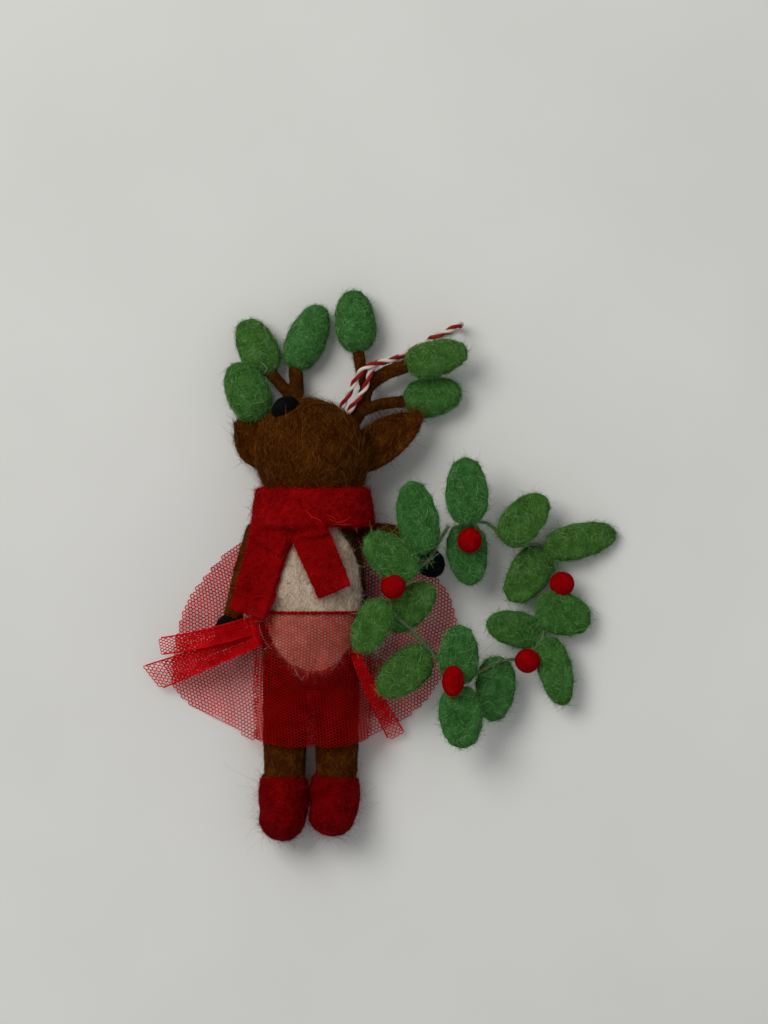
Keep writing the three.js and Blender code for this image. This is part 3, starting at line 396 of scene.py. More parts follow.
def wool_fibres(name, pieces, tones, per_mm2, length, lift, seed, width=0.08, comb=None):
    """Loose fibres on felt: thin curled ribbons that lie along the surface and stand off it here and
    there. They are drawn about three times as thick as real wool, so that they show. comb is the way
    they are stroked."""
    rng = np.random.default_rng(seed)
    corners, facing = [], []
    for piece in pieces:
        mesh = piece.data
        mesh.calc_loop_triangles()
        spots = np.empty(3 * len(mesh.vertices))
        mesh.vertices.foreach_get("co", spots)
        normals = np.empty(3 * len(mesh.vertices))
        mesh.vertices.foreach_get("normal", normals)
        index = np.empty(3 * len(mesh.loop_triangles), int)
        mesh.loop_triangles.foreach_get("vertices", index)
        corners.append(spots.reshape(-1, 3)[index].reshape(-1, 3, 3))
        facing.append(normals.reshape(-1, 3)[index].reshape(-1, 3, 3))
    corners, facing = np.concatenate(corners), np.concatenate(facing)
    across = np.cross(corners[:, 1] - corners[:, 0], corners[:, 2] - corners[:, 0])
    areas = np.linalg.norm(across, axis=1) / 2
    count = int(per_mm2 * areas.sum() / MM**2)
    chosen = rng.choice(len(areas), count, p=areas / areas.sum())
    share = rng.dirichlet((1, 1, 1), count)[:, :, None]
    root = (corners[chosen] * share).sum(axis=1)
    up = (facing[chosen] * share).sum(axis=1)
    up /= np.linalg.norm(up, axis=1)[:, None]
    heading = rng.normal(size=(count, 3))
    if comb:
        heading = 0.45 * heading + np.array(comb) * rng.choice((-1, 1), count, p=(0.25, 0.75))[:, None]
    heading -= up * (heading * up).sum(axis=1)[:, None]
    heading /= np.linalg.norm(heading, axis=1)[:, None]
    aside = np.cross(up, heading)
    reach = length * MM * np.clip(rng.lognormal(0, 0.45, count), 0.3, 2.6)
    rise = lift * reach * rng.gamma(1.2, 0.8, count)
    curl = rng.normal(0, 0.5, count) * reach
    steps = np.linspace(0, 1, 4)
    line = (
        root[:, None] - up[:, None] * FIBRE_ROOT * MM
        + heading[:, None] * (reach[:, None] * steps)[:, :, None]
        + aside[:, None] * (curl[:, None] * steps**2)[:, :, None]
        + up[:, None] * (rise[:, None] * steps * (1.4 - 0.5 * steps))[:, :, None]
    )
    broad = np.cross(np.gradient(line, axis=1), rng.normal(size=(count, 1, 3)))
    broad /= np.linalg.norm(broad, axis=2)[:, :, None] + 1e-12
    half = (width * MM / 2 * (1 - 0.6 * steps))[None, :, None]
    spots = np.stack([line + broad * half, line - broad * half], axis=2).reshape(-1, 3)
    spots[:, 2] = np.maximum(spots[:, 2], TABLE_CLEARANCE * MM)
    first = (np.arange(count) * 8)[:, None] + np.arange(3)[None, :] * 2
    quads = np.stack([first, first + 1, first + 3, first + 2], axis=2).reshape(-1)
    mesh = bpy.data.meshes.new(name)
    mesh.vertices.add(len(spots))
    mesh.vertices.foreach_set("co", spots.reshape(-1))
    mesh.loops.add(len(quads))
    mesh.loops.foreach_set("vertex_index", quads)
    mesh.polygons.add(3 * count)
    mesh.polygons.foreach_set("loop_start", np.arange(3 * count) * 4)
    for tone in tones:
        mesh.materials.append(tone)
    mesh.polygons.foreach_set("material_index", np.repeat(rng.integers(0, len(tones), count), 3))
    mesh.update(calc_edges=True)
    return placed(name, mesh)


def fuzz(name, pieces, tones, slot, body, **look):
    """Loose fibres over felted pieces, which move with the body that carries them."""
    fibres = wool_fibres(name, pieces, tones, **look)
    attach(fibres, body)


def dress(piece, material, slot, body, *nodes, fill=1.0):
    """Gives a felted piece its finish, hides the CAD solid that it stands for, and ties it to the body that
    it moves with.
    """
    piece.data.materials.append(material)
    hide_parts(*nodes)
    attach(piece, body)


def main_axes(piece):
    """A piece's points, their middle, and its long, cross and thin directions."""
    points = np.empty(3 * len(piece.data.vertices))
    piece.data.vertices.foreach_get("co", points)
    points = points.reshape(-1, 3)
    middle = points.mean(axis=0)
    return points, middle, np.linalg.svd(points - middle, full_matrices=False)[2]


def hollowed(ear, rim_way, depth):
    """Presses a hollow into an ear's upper face, deepest beside the rim on the side of rim_way."""
    points, middle, (long_way, cross_way, thin_way) = main_axes(ear)
    cross_way = cross_way * np.sign(cross_way @ rim_way)
    thin_way = thin_way * np.sign(thin_way[2])
    along, across, thick = ((points - middle) @ way for way in (long_way, cross_way, thin_way))
    along, across, thick = (share / np.abs(share).max() for share in (along, across, thick))
    by_rim = np.exp(-((across - 0.3 * (1 - along**2)) / 0.28) ** 2)
    crease = by_rim + 0.45 * np.exp(-((across + 0.15) / 0.45) ** 2)
    press = crease * np.clip(1 - along**2 * 1.3, 0, 1) * np.clip(thick * 1.5, 0, 1)
    ear.data.vertices.foreach_set("co", (points - np.outer(press, thin_way) * depth * MM).reshape(-1))
    ear.data.update()


brown_wool = felt_material("brown_needle_felt", "#250E03", "#3C1A04", "#61380C")
brown_fibre = fibre_tones("brown_fibre", ("#311403", "#472205", "#784B15"))
head = felted("head", voxel=0.5, rounds=5, lump=0.5, swell=0.1)
dress(head, brown_wool, "brown_wool", "figure", "head")
ears = [felted(f"ear_{side}", voxel=0.35, rounds=4, lump=0.3, swell=0.1) for side in SIDES]
hollowed(ears[0], rim_way=(-0.7, -0.7, 0), depth=0.8)
hollowed(ears[1], rim_way=(0.5, -0.86, 0), depth=3.2)
for side, ear in zip(SIDES, ears):
    dress(ear, brown_wool, "brown_wool", "figure", f"ear_{side}", fill=0.9)
fuzz(
    "head_fibres", [head] + ears, brown_fibre, "brown_wool", "figure",
    per_mm2=8, length=1.9, lift=0.1, seed=11, comb=(0, 1.2, 0.2),
)

body = felted("body", voxel=0.5, rounds=5, lump=0.5)
dress(body, brown_wool, "brown_wool", "figure", "body")
legs = [felted(f"leg_{side}", voxel=0.45, rounds=5, lump=0.4, swell=0.05) for side in SIDES]
for side, leg in zip(SIDES, legs):
    dress(leg, brown_wool, "brown_wool", "figure", f"leg_{side}")
fuzz(
    "body_fibres", [body] + legs, brown_fibre, "brown_wool", "figure",
    per_mm2=5, length=1.2, lift=0.1, seed=12, comb=(0, -1, 0),
)

for side, seed in (("left", 13), ("right", 14)):
    arm = felted(f"arm_{side}", voxel=0.4, rounds=4, lump=0.3, swell=0.05)
    dress(arm, brown_wool, "brown_wool", f"{side}_arm", f"arm_{side}")
    fuzz(
        f"arm_{side}_fibres", [arm], brown_fibre, "brown_wool", f"{side}_arm",
        per_mm2=7, length=1.1, lift=0.12, seed=seed,
    )

# Nose, eyes and hooves are small balls of black wool, felted hard and smooth with a fine needle. The nose
# and eyes are felted onto the head, and a hoof onto the end of each arm.
FACE_SWELL = {"nose": 0.45, "eye_left": 0.1, "eye_right": 0.1}
black_wool = felt_material("black_needle_felt", "#020303", "#070909", "#14181A", fibre=0.6, sheen=0.05)
black_fibre = fibre_tones("black_fibre", ("#050607", "#0A0D0E", "#1C2224"))
face = [felted(node, voxel=0.25, rounds=3, lump=0.15, swell=swell) for node, swell in FACE_SWELL.items()]
for node, piece in zip(FACE_SWELL, face):
    dress(piece, black_wool, "black_wool", "figure", node)
fuzz(
    "face_fibres", face, black_fibre, "black_wool", "figure",
    per_mm2=7, length=0.6, lift=0.12, seed=15,
)
for side, seed in (("left", 16), ("right", 17)):
    hoof = felted(f"hoof_{side}", voxel=0.35, rounds=3, lump=0.3, swell=0.05)
    dress(hoof, black_wool, "black_wool", f"{side}_arm", f"hoof_{side}")
    fuzz(
        f"hoof_{side}_fibres", [hoof], black_fibre, "black_wool", f"{side}_arm",
        per_mm2=7, length=0.7, lift=0.15, seed=seed,
    )

# The belly patch is a thin pad of cream wool with a few darker strands. It is felted onto the brown body,
# its fibres are stroked towards the legs, and its edge melts into the brown.
cream_wool = felt_material("cream_needle_felt", "#8F7C66", "#B9A28C", "#D8C6B3", fibre=0.9)
cream_fibre = fibre_tones("cream_fibre", ("#6E5F50", "#A89884", "#C4B5A3", "#DCD0C2"))
patch = felted("belly_patch", voxel=0.35, rounds=4, lump=0.35, swell=0.05)
dress(patch, cream_wool, "cream_wool", "figure", "belly_patch", fill=0.7)
fuzz(
    "belly_fibres", [patch], cream_fibre, "cream_wool", "figure",
    per_mm2=9, length=1.5, lift=0.1, seed=18, comb=(0, -1.2, 0),
)

# Antlers are branched sticks wound with dark brown wool. Their feet are felted into the head, and each
# end is stuck into a leaf pod.
antler_wool = felt_material("wound_brown_wool", "#260F02", "#3F1F05", "#623C0E", fibre=0.5, patch=2.0)
antler_fibre = fibre_tones("antler_fibre", ("#311603", "#4A2607", "#6C4414"))
antlers = [felted(f"antler_{side}", voxel=0.25, rounds=4, lump=0.2, swell=0.05) for side in SIDES]
for side, antler in zip(SIDES, antlers):
    dress(antler, antler_wool, "antler_wool", "figure", f"antler_{side}")
fuzz(
    "antler_fibres", antlers, antler_fibre, "antler_wool", "figure",
    per_mm2=9, length=0.9, lift=0.16, seed=19,
)

# Leaf pods and wreath leaves are cut and felted from thick green wool: soft-edged, with lighter and
# darker strands matted together and short fibres all round the rim.
LEAF_COUNT = 16
green_wools = [
    felt_material(f"{name}_wool_felt", *codes, fibre=0.9, patch=3.0)
    for name, codes in (
        ("green", ("#234514", "#365F26", "#538340")),
        ("blue_green", ("#21451A", "#315F2C", "#4E8348")),
        ("leaf_green", ("#264513", "#3B6024", "#5A853E")),
    )
]
green_fibre = fibre_tones("green_fibre", ("#2C531E", "#437434", "#578A4B", "#75A066"))


def blunted(leaf, share):
    """Fills out a leaf's two ends, so that its outline is rounder than an ellipse there."""
    points, middle, (long_way, cross_way, _) = main_axes(leaf)
    along, across = (points - middle) @ long_way, (points - middle) @ cross_way
    s = np.clip(np.abs(along) / np.abs(along).max(), 0, 0.97)
    widen = share * ((1 - s**4) ** 0.25 / (1 - s**2) ** 0.5 - 1)
    leaf.data.vertices.foreach_set("co", (points + np.outer(across * widen, cross_way)).reshape(-1))
    leaf.data.update()


pods = []
for node in (f"antler_leaf_{side}_{place}" for side in SIDES for place in ("upper", "outer", "lower")):
    pods.append(felted(node, voxel=0.4, rounds=3, lump=0.5, swell=0.1))
    blunted(pods[-1], 0.3)
    dress(pods[-1], green_wools[len(pods) % 3], "green_wool", "figure", node, fill=0.9)
fuzz(
    "antler_leaf_fibres", pods, green_fibre, "green_wool", "figure",
    per_mm2=13, length=0.95, lift=0.2, seed=20,
)
leaves = []
for i in range(1, LEAF_COUNT + 1):
    leaves.append(felted(f"wreath_leaf_{i}", voxel=0.35, rounds=4, lump=0.4, swell=0.3))
    blunted(leaves[-1], 0.38)
    green = green_wools[(i * i + i // 3) % 3]
    dress(leaves[-1], green, "green_wool", "wreath", f"wreath_leaf_{i}", fill=0.9)
for half, some, seed in ((1, leaves[:LEAF_COUNT // 2], 21), (2, leaves[LEAF_COUNT // 2:], 29)):
    fuzz(
        f"wreath_leaf_fibres_{half}", some, green_fibre, "green_wool", "wreath",
        per_mm2=7, length=1.3, lift=0.17, seed=seed,
    )

# Berries are small balls of bright red wool, rolled tight and smooth. Each is threaded or stitched to the
# wreath's wire between two leaves.
berry_wool = felt_material("red_wool_ball", "#680003", "#860105", "#A8060C", fibre=0.5, patch=2.0)
berry_fibre = fibre_tones("berry_fibre", ("#740104", "#8C0206", "#B01218"))
berries = []
for i in range(1, 6):
    berries.append(felted(f"berry_{i}", voxel=0.3, rounds=3, lump=0.2, swell=0.1))
    dress(berries[-1], berry_wool, "berry_red", "wreath", f"berry_{i}")
fuzz(
    "berry_fibres", berries, berry_fibre, "berry_red", "wreath",
    per_mm2=8, length=0.45, lift=0.08, seed=22,
)

# The wreath's wire is thin steel wire, bent by hand. It shows here and there between the leaves, and
# wool from the leaves clings to it.
wire_steel, tree, shader = new_material("dull_steel_wire")
mottle(tree, shader, 900, 3, (0, "#4A523E"), (1, "#70775E"))
set_inputs(shader, {"Metallic": 0.6, "Roughness": 0.55})
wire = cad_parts["wreath_wire"]
wire.data.materials.clear()
wire.data.materials.append(wire_steel)
fuzz(
    "wire_fibres", [wire], green_fibre, "green_wool", "wreath",
    per_mm2=9, length=1.2, lift=0.25, seed=28, width=0.09,
)

# Boots are red wool felted over the ends of the legs into rounded toes. The wool is worked less there, so
# long fibres are left loose round the soles.
boot_wool = felt_material("red_needle_felt", "#460001", "#600002", "#860508", fibre=0.9)
boot_fibre = fibre_tones("boot_fibre", ("#500001", "#6C0103", "#9A0E12"))
boots = [felted(f"boot_{side}", voxel=0.45, rounds=6, lump=0.5, swell=0.15) for side in SIDES]
for side, boot in zip(SIDES, boots):
    dress(boot, boot_wool, "red_wool", "figure", f"boot_{side}")
fuzz(
    "boot_fibres", boots, boot_fibre, "red_wool", "figure",
    per_mm2=6, length=1.0, lift=0.1, seed=23,
)
fuzz(
    "boot_stray_fibres", boots, boot_fibre, "red_wool", "figure",
    per_mm2=1.1, length=2.1, lift=0.5, seed=33, width=0.045,
)

# The scarf is a strip of thick red felt: a band round the neck, and two tails that cross at the front.
# The tails fold along their top edges, so they bend between the band and their own free ends.
SCARF_KNOT = (-19.6, 14.2)
SCARF_ENDS = {
    "left": ([(-28.9, 4.8), (-26.4, 8.8), (-23.2, 12.2), SCARF_KNOT], 9.6, 5.5),
    "right": ([(-17.5, 7.0), (-18.0, 9.6), (-18.8, 12.0), SCARF_KNOT], 9.4, 5.0),
}
STRAP_COLUMNS = 13
STRAP_LIFT = 0.45
STRAP_THICKNESS = 1.4
TAIL_OVERLAP = 1.6
scarf_felt = felt_material("red_sheet_felt", "#600002", "#7E0205", "#A2080D", fibre=0.7, patch=5.0)
scarf_fibre = fibre_tones("scarf_fibre", ("#6A0103", "#880306", "#AE1418"))


def surface_of(node):
    """A search tree over a CAD solid, to lay a cloth on it from above."""
    solid = working_copy(node, node + "_guide")
    found = BVHTree.FromObject(solid, bpy.context.evaluated_depsgraph_get())
    bpy.data.objects.remove(solid)
    return found


def height_on(found, x, y, otherwise):
    """The top of a CAD solid at a place, in millimetres."""
    hit = found.ray_cast(Vector((x * MM, y * MM, 0.1)), Vector((0, 0, -1)))[0]
    return hit.z / MM if hit else otherwise


straps = []
for side, (points, low_width, knot_width) in SCARF_ENDS.items():
    ground = [surface_of("scarf_band"), surface_of(f"scarf_tail_{side}")]
    line, _ = smooth_line([(x, y, 0) for x, y in points], 0.5)
    ahead = np.gradient(line[:, :2], axis=0)
    ahead /= np.linalg.norm(ahead, axis=1)[:, None]
    widths = np.linspace(low_width, knot_width, len(line))
    across = np.linspace(-0.5, 0.5, STRAP_COLUMNS)
    grid = np.empty((len(line), STRAP_COLUMNS, 3))
    grid[:, :, 0] = line[:, :1] + np.outer(ahead[:, 1] * widths, across)
    grid[:, :, 1] = line[:, 1:2] - np.outer(ahead[:, 0] * widths, across)
    for row in grid:
        heights = np.array([max(height_on(found, x, y, 0) for found in ground) for x, y, _ in row])
        met = heights > 1
        row[:, 2] = np.interp(across, across[met], heights[met])
    for _ in range(6):
        grid[1:-1, :, 2] = np.maximum(grid[1:-1, :, 2], (grid[:-2, :, 2] + grid[2:, :, 2]) / 2)
    grid[:, :, 2] += STRAP_LIFT
    faces = []
    for i in range(len(line) - 1):
        for first in range(STRAP_COLUMNS * i, STRAP_COLUMNS * (i + 1) - 1):
            faces.append((first, first + 1, first + STRAP_COLUMNS + 1, first + STRAP_COLUMNS))
    mesh = bpy.data.meshes.new(f"scarf_end_{side}")
    mesh.from_pydata((grid.reshape(-1, 3) * MM).tolist(), [], faces)
    straps.append(placed(f"scarf_end_{side}", mesh))
    edit_all(straps[-1], bpy.ops.mesh.normals_make_consistent, inside=False)
    finish_with(straps[-1], "SOLIDIFY", thickness=STRAP_THICKNESS * MM, offset=0)
band = felted("scarf_band", added=straps, voxel=0.4, rounds=5, lump=0.4)
band.data.materials.append(scarf_felt)
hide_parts("scarf_band")
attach(band, "figure")
fuzz(
    "scarf_band_fibres", [band], scarf_fibre, "red_felt", "figure",
    per_mm2=7, length=1.3, lift=0.2, seed=24,
)
for side, way, start, flat, seed in (
    ("left", Vector((-0.29, -0.957, 0)), Vector((-28.55, 3.56, 22.6)), (10.0, 16.4), 25),
    ("right", Vector((0.39, -0.9208, 0)), Vector((-17.43, 7.28, 26.5)), (10.0, 15.0), 26),
):
    tail = working_copy(f"scarf_tail_{side}", f"scarf_tail_{side}_felt")
    for polygon in tail.data.polygons:
        polygon.select = polygon.normal.dot(way) < -0.8
    for edge in tail.data.edges:
        edge.select = False
    for vertex in tail.data.vertices:
        vertex.select = False
    bpy.ops.object.mode_set(mode="EDIT")
    bpy.ops.mesh.select_mode(type="FACE")
    bpy.ops.mesh.extrude_region_move(TRANSFORM_OT_translate={"value": -way * TAIL_OVERLAP * MM})
    bpy.ops.object.mode_set(mode="OBJECT")
    felt_over(tail, voxel=0.35, rounds=3, lump=0.35)
    tail.data.materials.append(scarf_felt)
    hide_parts(f"scarf_tail_{side}")
    tail_fibres = wool_fibres(
        f"scarf_tail_{side}_fibres", [tail], scarf_fibre, per_mm2=7, length=1.2, lift=0.18, seed=seed
    )
    for piece in (tail, tail_fibres):
        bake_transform(piece)

# The skirt is red nylon tulle, gathered at the waist. Its front lies over belly and legs with its holes
# drawn narrow, a second layer hangs beneath it over the legs, and the sides spread flat on the table.
WAIST_Y = -12.49
GATHER_Y = -11.7
HEM = [
    (-17.3, 8.56), (-27.3, 8.06), (-35.8, 5.26), (-42.9, -1.69), (-48.6, -9.44), (-51.3, -18.94),
    (-52.1, -29.44), (-47.8, -34.94), (-40.55, -38.54), (-32.8, -42.94), (-24.3, -44.94),
    (-16.8, -44.94), (-9.3, -44.94), (-1.8, -42.24), (5.7, -38.64), (12.3, -31.94), (16.5, -23.44),
    (18.45, -13.94), (15.7, -6.19), (9.2, 1.06), (-0.3, 6.26), (-8.3, 8.26),
]
SKIRT_X, SKIRT_Y = -17, -18
FRONT_LEFT, FRONT_RIGHT = -31.6, -2.6
LEFT_FOLD_Y = -17
SIDE_BIAS = 0.42
SIDE_LAP = 0.4
TULLE_HOLE = 0.92
TULLE_THREAD = 0.318
TULLE_SINK = 0.35
TULLE_ON_TABLE = 1.2
HEM_HEIGHT = 0.85
STEEPEST = 5
GATHERED_HOLE = 0.8
GATHERED_THREAD = 0.9
NET_COLUMNS, NET_ROWS = 120, 140
NO_TOP = 90


def tulle_material(name, see_through, opacity):
    """Nylon net: a smooth dyed thread that lets part of the light through."""
    material, tree, shader = new_material(name)
    mottle(tree, shader, 260, 2, (0.35, "#D00C14"), (0.65, "#E8141C"))
    set_inputs(shader, {
        "Roughness": 0.3, "Specular IOR Level": 0.1, "Transmission Weight": see_through, "IOR": 1.06,
        "Alpha": opacity,
    })
    return material


def six_sided_net(name, columns, rows, keep, place, thread, finish):
    """A net of six-sided holes: a flat honeycomb laid by place(column, row), each rim made a thread."""
    spots, numbers, faces = [], {}, []
    for j in range(rows):
        for i in range(columns):
            middle = (2 * i + j % 2 + 1, 3 * j + 2)
            if not keep(middle[0] / 2, middle[1] / 3):
                continue
            ring = []
            for dx, dy in ((0, -2), (1, -1), (1, 1), (0, 2), (-1, 1), (-1, -1)):
                x, y = middle[0] + dx, middle[1] + dy
                if (x, y) not in numbers:
                    numbers[x, y] = len(spots)
                    spots.append([c * MM for c in place(x / 2, y / 3)])
                ring.append(numbers[x, y])
            faces.append(ring)
    mesh = bpy.data.meshes.new(name)
    mesh.from_pydata(spots, [], faces)
    cloth = sum(polygon.area for polygon in mesh.polygons)
    piece = placed(name, mesh)
    finish_with(piece, "WIREFRAME", thickness=thread * MM, use_even_offset=False, use_boundary=True)
    piece.data.materials.append(finish)
    return piece, cloth


tulle = tulle_material("red_nylon_tulle", 0.85, 0.76)
gathered_tulle = tulle_material("gathered_red_nylon_tulle", 0.85, 1)
skirt_top = surface_of("tulle_skirt")
outline = []
for i, s in ((i, s) for i in range(len(HEM)) for s in np.linspace(0, 1, 8, endpoint=False)):
    p0, p1, p2, p3 = (np.array(HEM[(i + d) % len(HEM)]) for d in (-1, 0, 1, 2))
    turn_2, turn_3 = 2 * p0 - 5 * p1 + 4 * p2 - p3, 3 * p1 - p0 - 3 * p2 + p3
    outline.append(0.5 * (2 * p1 + (p2 - p0) * s + turn_2 * s**2 + turn_3 * s**3))
outline = np.array(outline)


def within_hem(x, y):
    """Whether a place seen from above is inside the hem."""
    ahead = np.roll(outline, -1, axis=0)
    crossed = (outline[:, 1] > y) != (ahead[:, 1] > y)
    rise = np.where(crossed, ahead[:, 1] - outline[:, 1], 1)
    at_x = outline[:, 0] + (y - outline[:, 1]) * (ahead[:, 0] - outline[:, 0]) / rise
    return np.count_nonzero(crossed & (x < at_x)) % 2 == 1


def belly_edge(x):
    """How far up the second layer comes: it leaves the belly patch free."""
    return -12.2 if x < -27.5 else -26.4 + 0.05 * (min(x, -3) + 16.5) ** 2


def skirt_net(name, finish, held_in, bias, shift=0, sink=0, top_y=NO_TOP, hole_share=1, thread_share=1):
    """A panel of the skirt: bias turns its holes, shift moves them, and sink is its depth under the CAD
    skirt's top. Past top_y the height stays as it is there; without it the panel lies on the table."""

    def seen(column, row):
        x = (column - NET_COLUMNS / 2 + shift) * TULLE_HOLE * hole_share
        y = (row - NET_ROWS / 2) * TULLE_HOLE * math.sqrt(3) / 2
        x, y = x * math.cos(bias) - y * math.sin(bias), x * math.sin(bias) + y * math.cos(bias)
        return x + SKIRT_X + 0.4 * math.sin(0.23 * y + bias), y + SKIRT_Y + 0.3 * math.sin(0.19 * x + 2)

    def height(x, y):
        if top_y is None:
            return TULLE_ON_TABLE
        for inward in (1, 0.98, 0.96, 0.94, 0.9):
            near_x = SKIRT_X + (x - SKIRT_X) * inward
            near_y = min(SKIRT_Y + (y - SKIRT_Y) * inward, top_y)
            z = height_on(skirt_top, near_x, near_y, None)
            if z is not None:
                return z
        return HEM_HEIGHT

    def laid(column, row):
        x, y = seen(column, row)
        pucker = 0.25 * (1 - math.cos(2.6 * x)) * max(0, 1 - abs(WAIST_Y - y) / 6) ** 2
        return x, y, height(x, y) - TULLE_SINK - sink + pucker

    def kept(column, row):
        x, y = seen(column, row)
        if not (held_in(x, y) and within_hem(x, y)):
            return False
        around = [height(x + dx, y + dy) for dx, dy in ((0.5, 0), (-0.5, 0), (0, 0.5), (0, -0.5))]
        return max(around) - min(around) < STEEPEST

    net, cloth = six_sided_net(name, NET_COLUMNS, NET_ROWS, kept, laid, TULLE_THREAD * thread_share, finish)
    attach(net, "figure")
    return net


gathered = {"top_y": WAIST_Y - 0.3, "hole_share": GATHERED_HOLE, "thread_share": GATHERED_THREAD}
skirt = skirt_net(
    "tulle_skirt_front_net", gathered_tulle,
    lambda x, y: FRONT_LEFT < x < FRONT_RIGHT and y < GATHER_Y,
    bias=math.pi / 2, **gathered,
)
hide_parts("tulle_skirt")
skirt_net(
    "tulle_skirt_under_net", gathered_tulle,
    lambda x, y: FRONT_LEFT + 0.6 < x < (1.5 if -38 < y < -24 else FRONT_RIGHT - 1) and y < belly_edge(x),
    bias=math.pi / 2 + 0.03, shift=0.5, sink=0.35, **gathered,
)
skirt_net(
    "tulle_skirt_back_net", tulle, lambda x, y: abs(x - SKIRT_X) < 8 and y < -20,
    bias=0.1, shift=0.25, top_y=None,
)
skirt_net(
    "tulle_skirt_left_net", tulle, lambda x, y: x < FRONT_LEFT + SIDE_LAP and y < LEFT_FOLD_Y,
    bias=-SIDE_BIAS,
)
skirt_net(
    "tulle_skirt_left_upper_net", gathered_tulle,
    lambda x, y: x < SKIRT_X and (x < FRONT_LEFT + SIDE_LAP or y > WAIST_Y) and y >= LEFT_FOLD_Y,
    bias=-SIDE_BIAS,
)
skirt_net(
    "tulle_skirt_right_net", tulle,
    lambda x, y: x > SKIRT_X and (x > FRONT_RIGHT - SIDE_LAP or y > WAIST_Y),
    bias=SIDE_BIAS,
)

# The ties are strips of the same tulle, folded lengthwise and knotted at the hips. They are five layers
# thick near the knot and single at the cut ends, and their two long folds are sharp.
TIES = {
    "tie_left_upper": (
        [(-30.4, -14.6), (-33.2, -15.3), (-40.3, -17.24), (-48.8, -19.24), (-55.5, -20.34)], 4.4, 4.2, 0,
    ),
    "tie_left_lower": (
        [(-30.2, -17.4), (-32.8, -18.7), (-41.3, -21.94), (-49.8, -25.34), (-57.6, -28.24)], 4.4, 6.9, 2.3,
    ),
    "tie_right": (
        [(-6.6, -20.9), (-5.2, -25.2), (-2.9, -30.1), (0.2, -36.1), (3.85, -43.0)], 2.0, 4.4, 0,
    ),
}
LAYER_REACH = (1, 0.86, 0.78, 0.6, 0.5)
LAYER_DEPTH = 0.17
FOLD_ROW = 0.85
FOLD_RADIUS = 0.2
TIE_THREAD = 0.3
TUCK_DEPTH = 1.6
TUCK_SHARE = 0.12


def round_thread(name, line, radius):
    """A thin round thread along a line."""
    return thread_tube(name, line, np.full((len(line), 6), radius), np.zeros(len(line)))


def joined(name, pieces):
    """Several pieces made one."""
    pick(pieces[0])
    for piece in pieces[1:]:
        piece.select_set(True)
    bpy.ops.object.join()
    pieces[0].name = name
    return pieces[0]


folded_tulle = tulle_material("folded_red_nylon_tulle", 0.5, 1)
for node, (points, start_width, end_width, slant) in TIES.items():
    top = surface_of(node)
    middle, _ = smooth_line([(x, y, 0) for x, y in points], 0.5)
    for spot in middle:
        on_skirt = height_on(skirt_top, spot[0], spot[1], 2.5) + 0.5
        spot[2] = height_on(top, spot[0], spot[1], on_skirt)
    for _ in range(12):
        middle[1:-1, 2] = (middle[:-2, 2] + 2 * middle[1:-1, 2] + middle[2:, 2]) / 4
    headings = np.gradient(middle[:, :2], axis=0)
    headings /= np.linalg.norm(headings, axis=1)[:, None]
    length = np.linalg.norm(np.diff(middle, axis=0), axis=1).sum()
    rows = int(length / FOLD_ROW)

    def on_strip(share, across, sink):
        """A place on the strip: how far along it, how far across it from -0.5 to 0.5, and how deep."""
        k = min(1, share) * (len(middle) - 1)
        x, y, z = (np.interp(k, range(len(middle)), middle[:, d]) for d in range(3))
        ahead = headings[int(k)]
        tuck = TUCK_DEPTH * max(0, 1 - share / TUCK_SHARE)
        aside = across * (start_width + (end_width - start_width) * min(1, share))
        onward = slant * across * share**3
        x = x + ahead[1] * aside + ahead[0] * onward
        y = y - ahead[0] * aside + ahead[1] * onward
        return x, y, z - 0.1 - sink - tuck

    parts, tie_cloth = [], 0.0
    for layer, reach in enumerate(LAYER_REACH):
        columns = int((start_width + end_width) / 2 / FOLD_ROW) - layer
        breadth = 0.98 - 0.06 * layer
        net, cloth = six_sided_net(
            f"{node}_net_{layer}", columns, int(rows * reach), lambda column, row: True,
            lambda column, row: on_strip(
                row / (rows + 0.34), (column / (columns + 0.5) - 0.5) * breadth, LAYER_DEPTH * layer,
            ),
            TIE_THREAD, folded_tulle,
        )
        parts.append(net)
        tie_cloth += cloth
    for across in (-0.49, 0.49):
        fold = np.array([on_strip(share, across, 0.1) for share in np.linspace(0, 0.97, 40)])
        line, _ = smooth_line(fold, 0.5)
        parts.append(round_thread(f"{node}_fold", line, FOLD_RADIUS))
        parts[-1].data.materials.append(folded_tulle)
    tie = joined(node + "_net", parts)
    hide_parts(node)
    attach(tie, "figure")

# The gather is a red thread drawn through the tulle's top edge and pulled tight round the waist. The cloth
# puckers along it, so that it shows as an uneven line.
GATHER_MIDDLE = (-17.05, -11.69, 12.775)
GATHER_RADIUS = 15.53
GATHER_FLATTEN = 0.86
gather_points = []
for i in range(13):
    turn = math.radians(12 + 156 * i / 12)
    gather_points.append((
        GATHER_MIDDLE[0] + GATHER_RADIUS * math.cos(turn), GATHER_MIDDLE[1],
        GATHER_MIDDLE[2] + GATHER_FLATTEN * GATHER_RADIUS * math.sin(turn),
    ))
gather_line, _ = smooth_line(gather_points, 0.3)
steps = np.arange(len(gather_line))
pucker = 0.36 + 0.1 * np.sin(steps * 1.9) + 0.05 * np.sin(steps * 0.7)
gather_outlines = np.outer(pucker, np.ones(10))
gather = thread_tube("waist_gather_thread", gather_line, gather_outlines, np.zeros(len(steps)))
pick(gather)
bpy.ops.object.shade_smooth()
gather.data.materials.append(scarf_felt)
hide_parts("waist_gather")
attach(gather, "figure")

# The stitches are a few loose turns of orange-red sewing thread. They catch the scarf's ends below the
# neck, and lie on the felt.
def sewing_thread(name, dark, bright, roughness, gloss):
    """Twisted sewing thread in two tones."""
    material, tree, shader = new_material(name)
    mottle(tree, shader, 2400, 2, (0, dark), (1, bright))
    set_inputs(shader, {"Roughness": roughness, "Specular IOR Level": gloss})
    return material


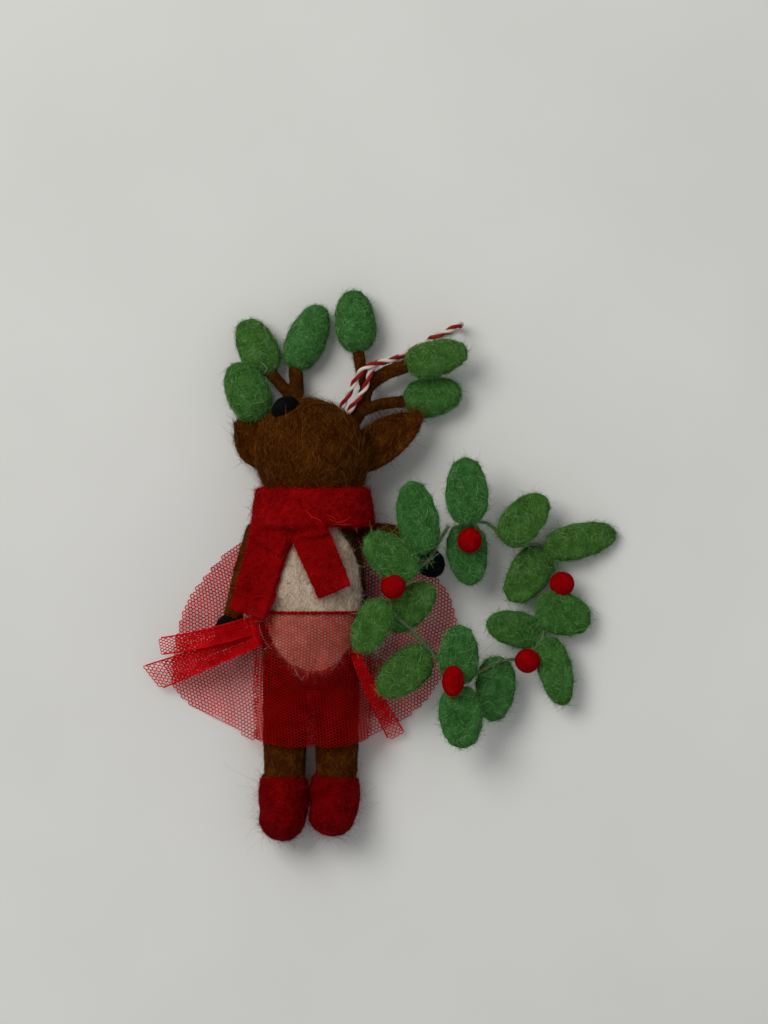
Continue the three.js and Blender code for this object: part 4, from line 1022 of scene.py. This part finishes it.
def over(*pieces):
    """Search trees over finished pieces, to lay threads on them from above."""
    return [BVHTree.FromObject(piece, bpy.context.evaluated_depsgraph_get()) for piece in pieces]


def laid_threads(name, finish, rider, ground, paths, radius):
    """Fine threads that lie on what is below them: each is a row of places seen from above."""
    threads = []
    for i, path in enumerate(paths):
        line, _ = smooth_line([(x, y, 0) for x, y in path], 0.3)
        for spot in line:
            spot[2] = max(height_on(found, spot[0], spot[1], 0.3) for found in ground) + 0.12
        line[1:-1, 2] += 0.25 * np.sin(np.linspace(0, math.pi, len(line))[1:-1])
        threads.append(round_thread(f"{name}_{i}", line, radius))
    made = joined(name, threads)
    made.data.materials.append(finish)
    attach(made, rider)


orange_thread = sewing_thread("orange_red_sewing_thread", "#A8140C", "#DC3A22", 0.55, 0.1)
laid_threads("scarf_stitches", orange_thread, "figure", over(band), (
    [(-18.8, 14.0), (-18.0, 13.0), (-17.0, 12.2)],
    [(-13.6, 12.6), (-12.1, 12.1), (-11.1, 11.3)],
    [(-11.1, 10.6), (-9.1, 11.1), (-7.3, 12.3)],
    [(-11.6, 10.3), (-9.6, 10.1), (-7.4, 10.3)],
    [(-17.6, 12.1), (-15.8, 11.6), (-14.8, 10.8)],
    [(-12.8, 11.6), (-11.4, 10.9), (-10.2, 10.5)],
), radius=0.055)

# White sewing thread ties the wreath's wire to the hoof and holds a leaf pod and a tie; its cut ends are
# left loose.
WREATH_TIE = np.array((12.15, 0.74, 16.62))
WISPS = (
    [(0.9, -1.4, -0.6), (0.5, -0.7, 0.3), (-0.3, 0.6, 0.75), (-1.1, 1.7, 0.4), (-1.5, 2.2, -0.2)],
    [(-0.3, 0.6, 0.75), (-2.2, 0.4, 2.2), (-4.6, -1.2, 3.9), (-7.4, -3.4, 5.6)],
    [(2.8, 2.7, 0.8), (1.6, 1.9, 1.2), (0.3, 0.7, 0.9)],
)
white_thread = sewing_thread("white_polyester_thread", "#8E8A82", "#BCB8AE", 0.6, 0.5)
laid_threads("antler_thread_end", white_thread, "figure", over(*antlers, *pods), (
    [(-30.0, 50.8), (-29.1, 49.9), (-28.6, 49.1), (-29.3, 48.1)],
), radius=0.06)
laid_threads("hip_thread_ends", white_thread, "figure", [skirt_top] + over(body), (
    [(-31.8, -15.3), (-31.4, -13.8), (-30.2, -13.9), (-29.0, -13.6), (-27.4, -12.4)],
    [(-30.2, -13.9), (-30.2, -15.5), (-29.5, -17.6), (-28.8, -19.0), (-27.2, -20.8)],
), radius=0.018)
wisps = []
for i, path in enumerate(WISPS):
    line, _ = smooth_line(WREATH_TIE + np.array(path), 0.25)
    wisps.append(round_thread(f"wisp_{i}", line, 0.03))
wreath_tie = joined("wreath_tie_thread", wisps)
wreath_tie.data.materials.append(white_thread)
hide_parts("wreath_thread")
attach(wreath_tie, "wreath")

bpy.context.view_layer.update()
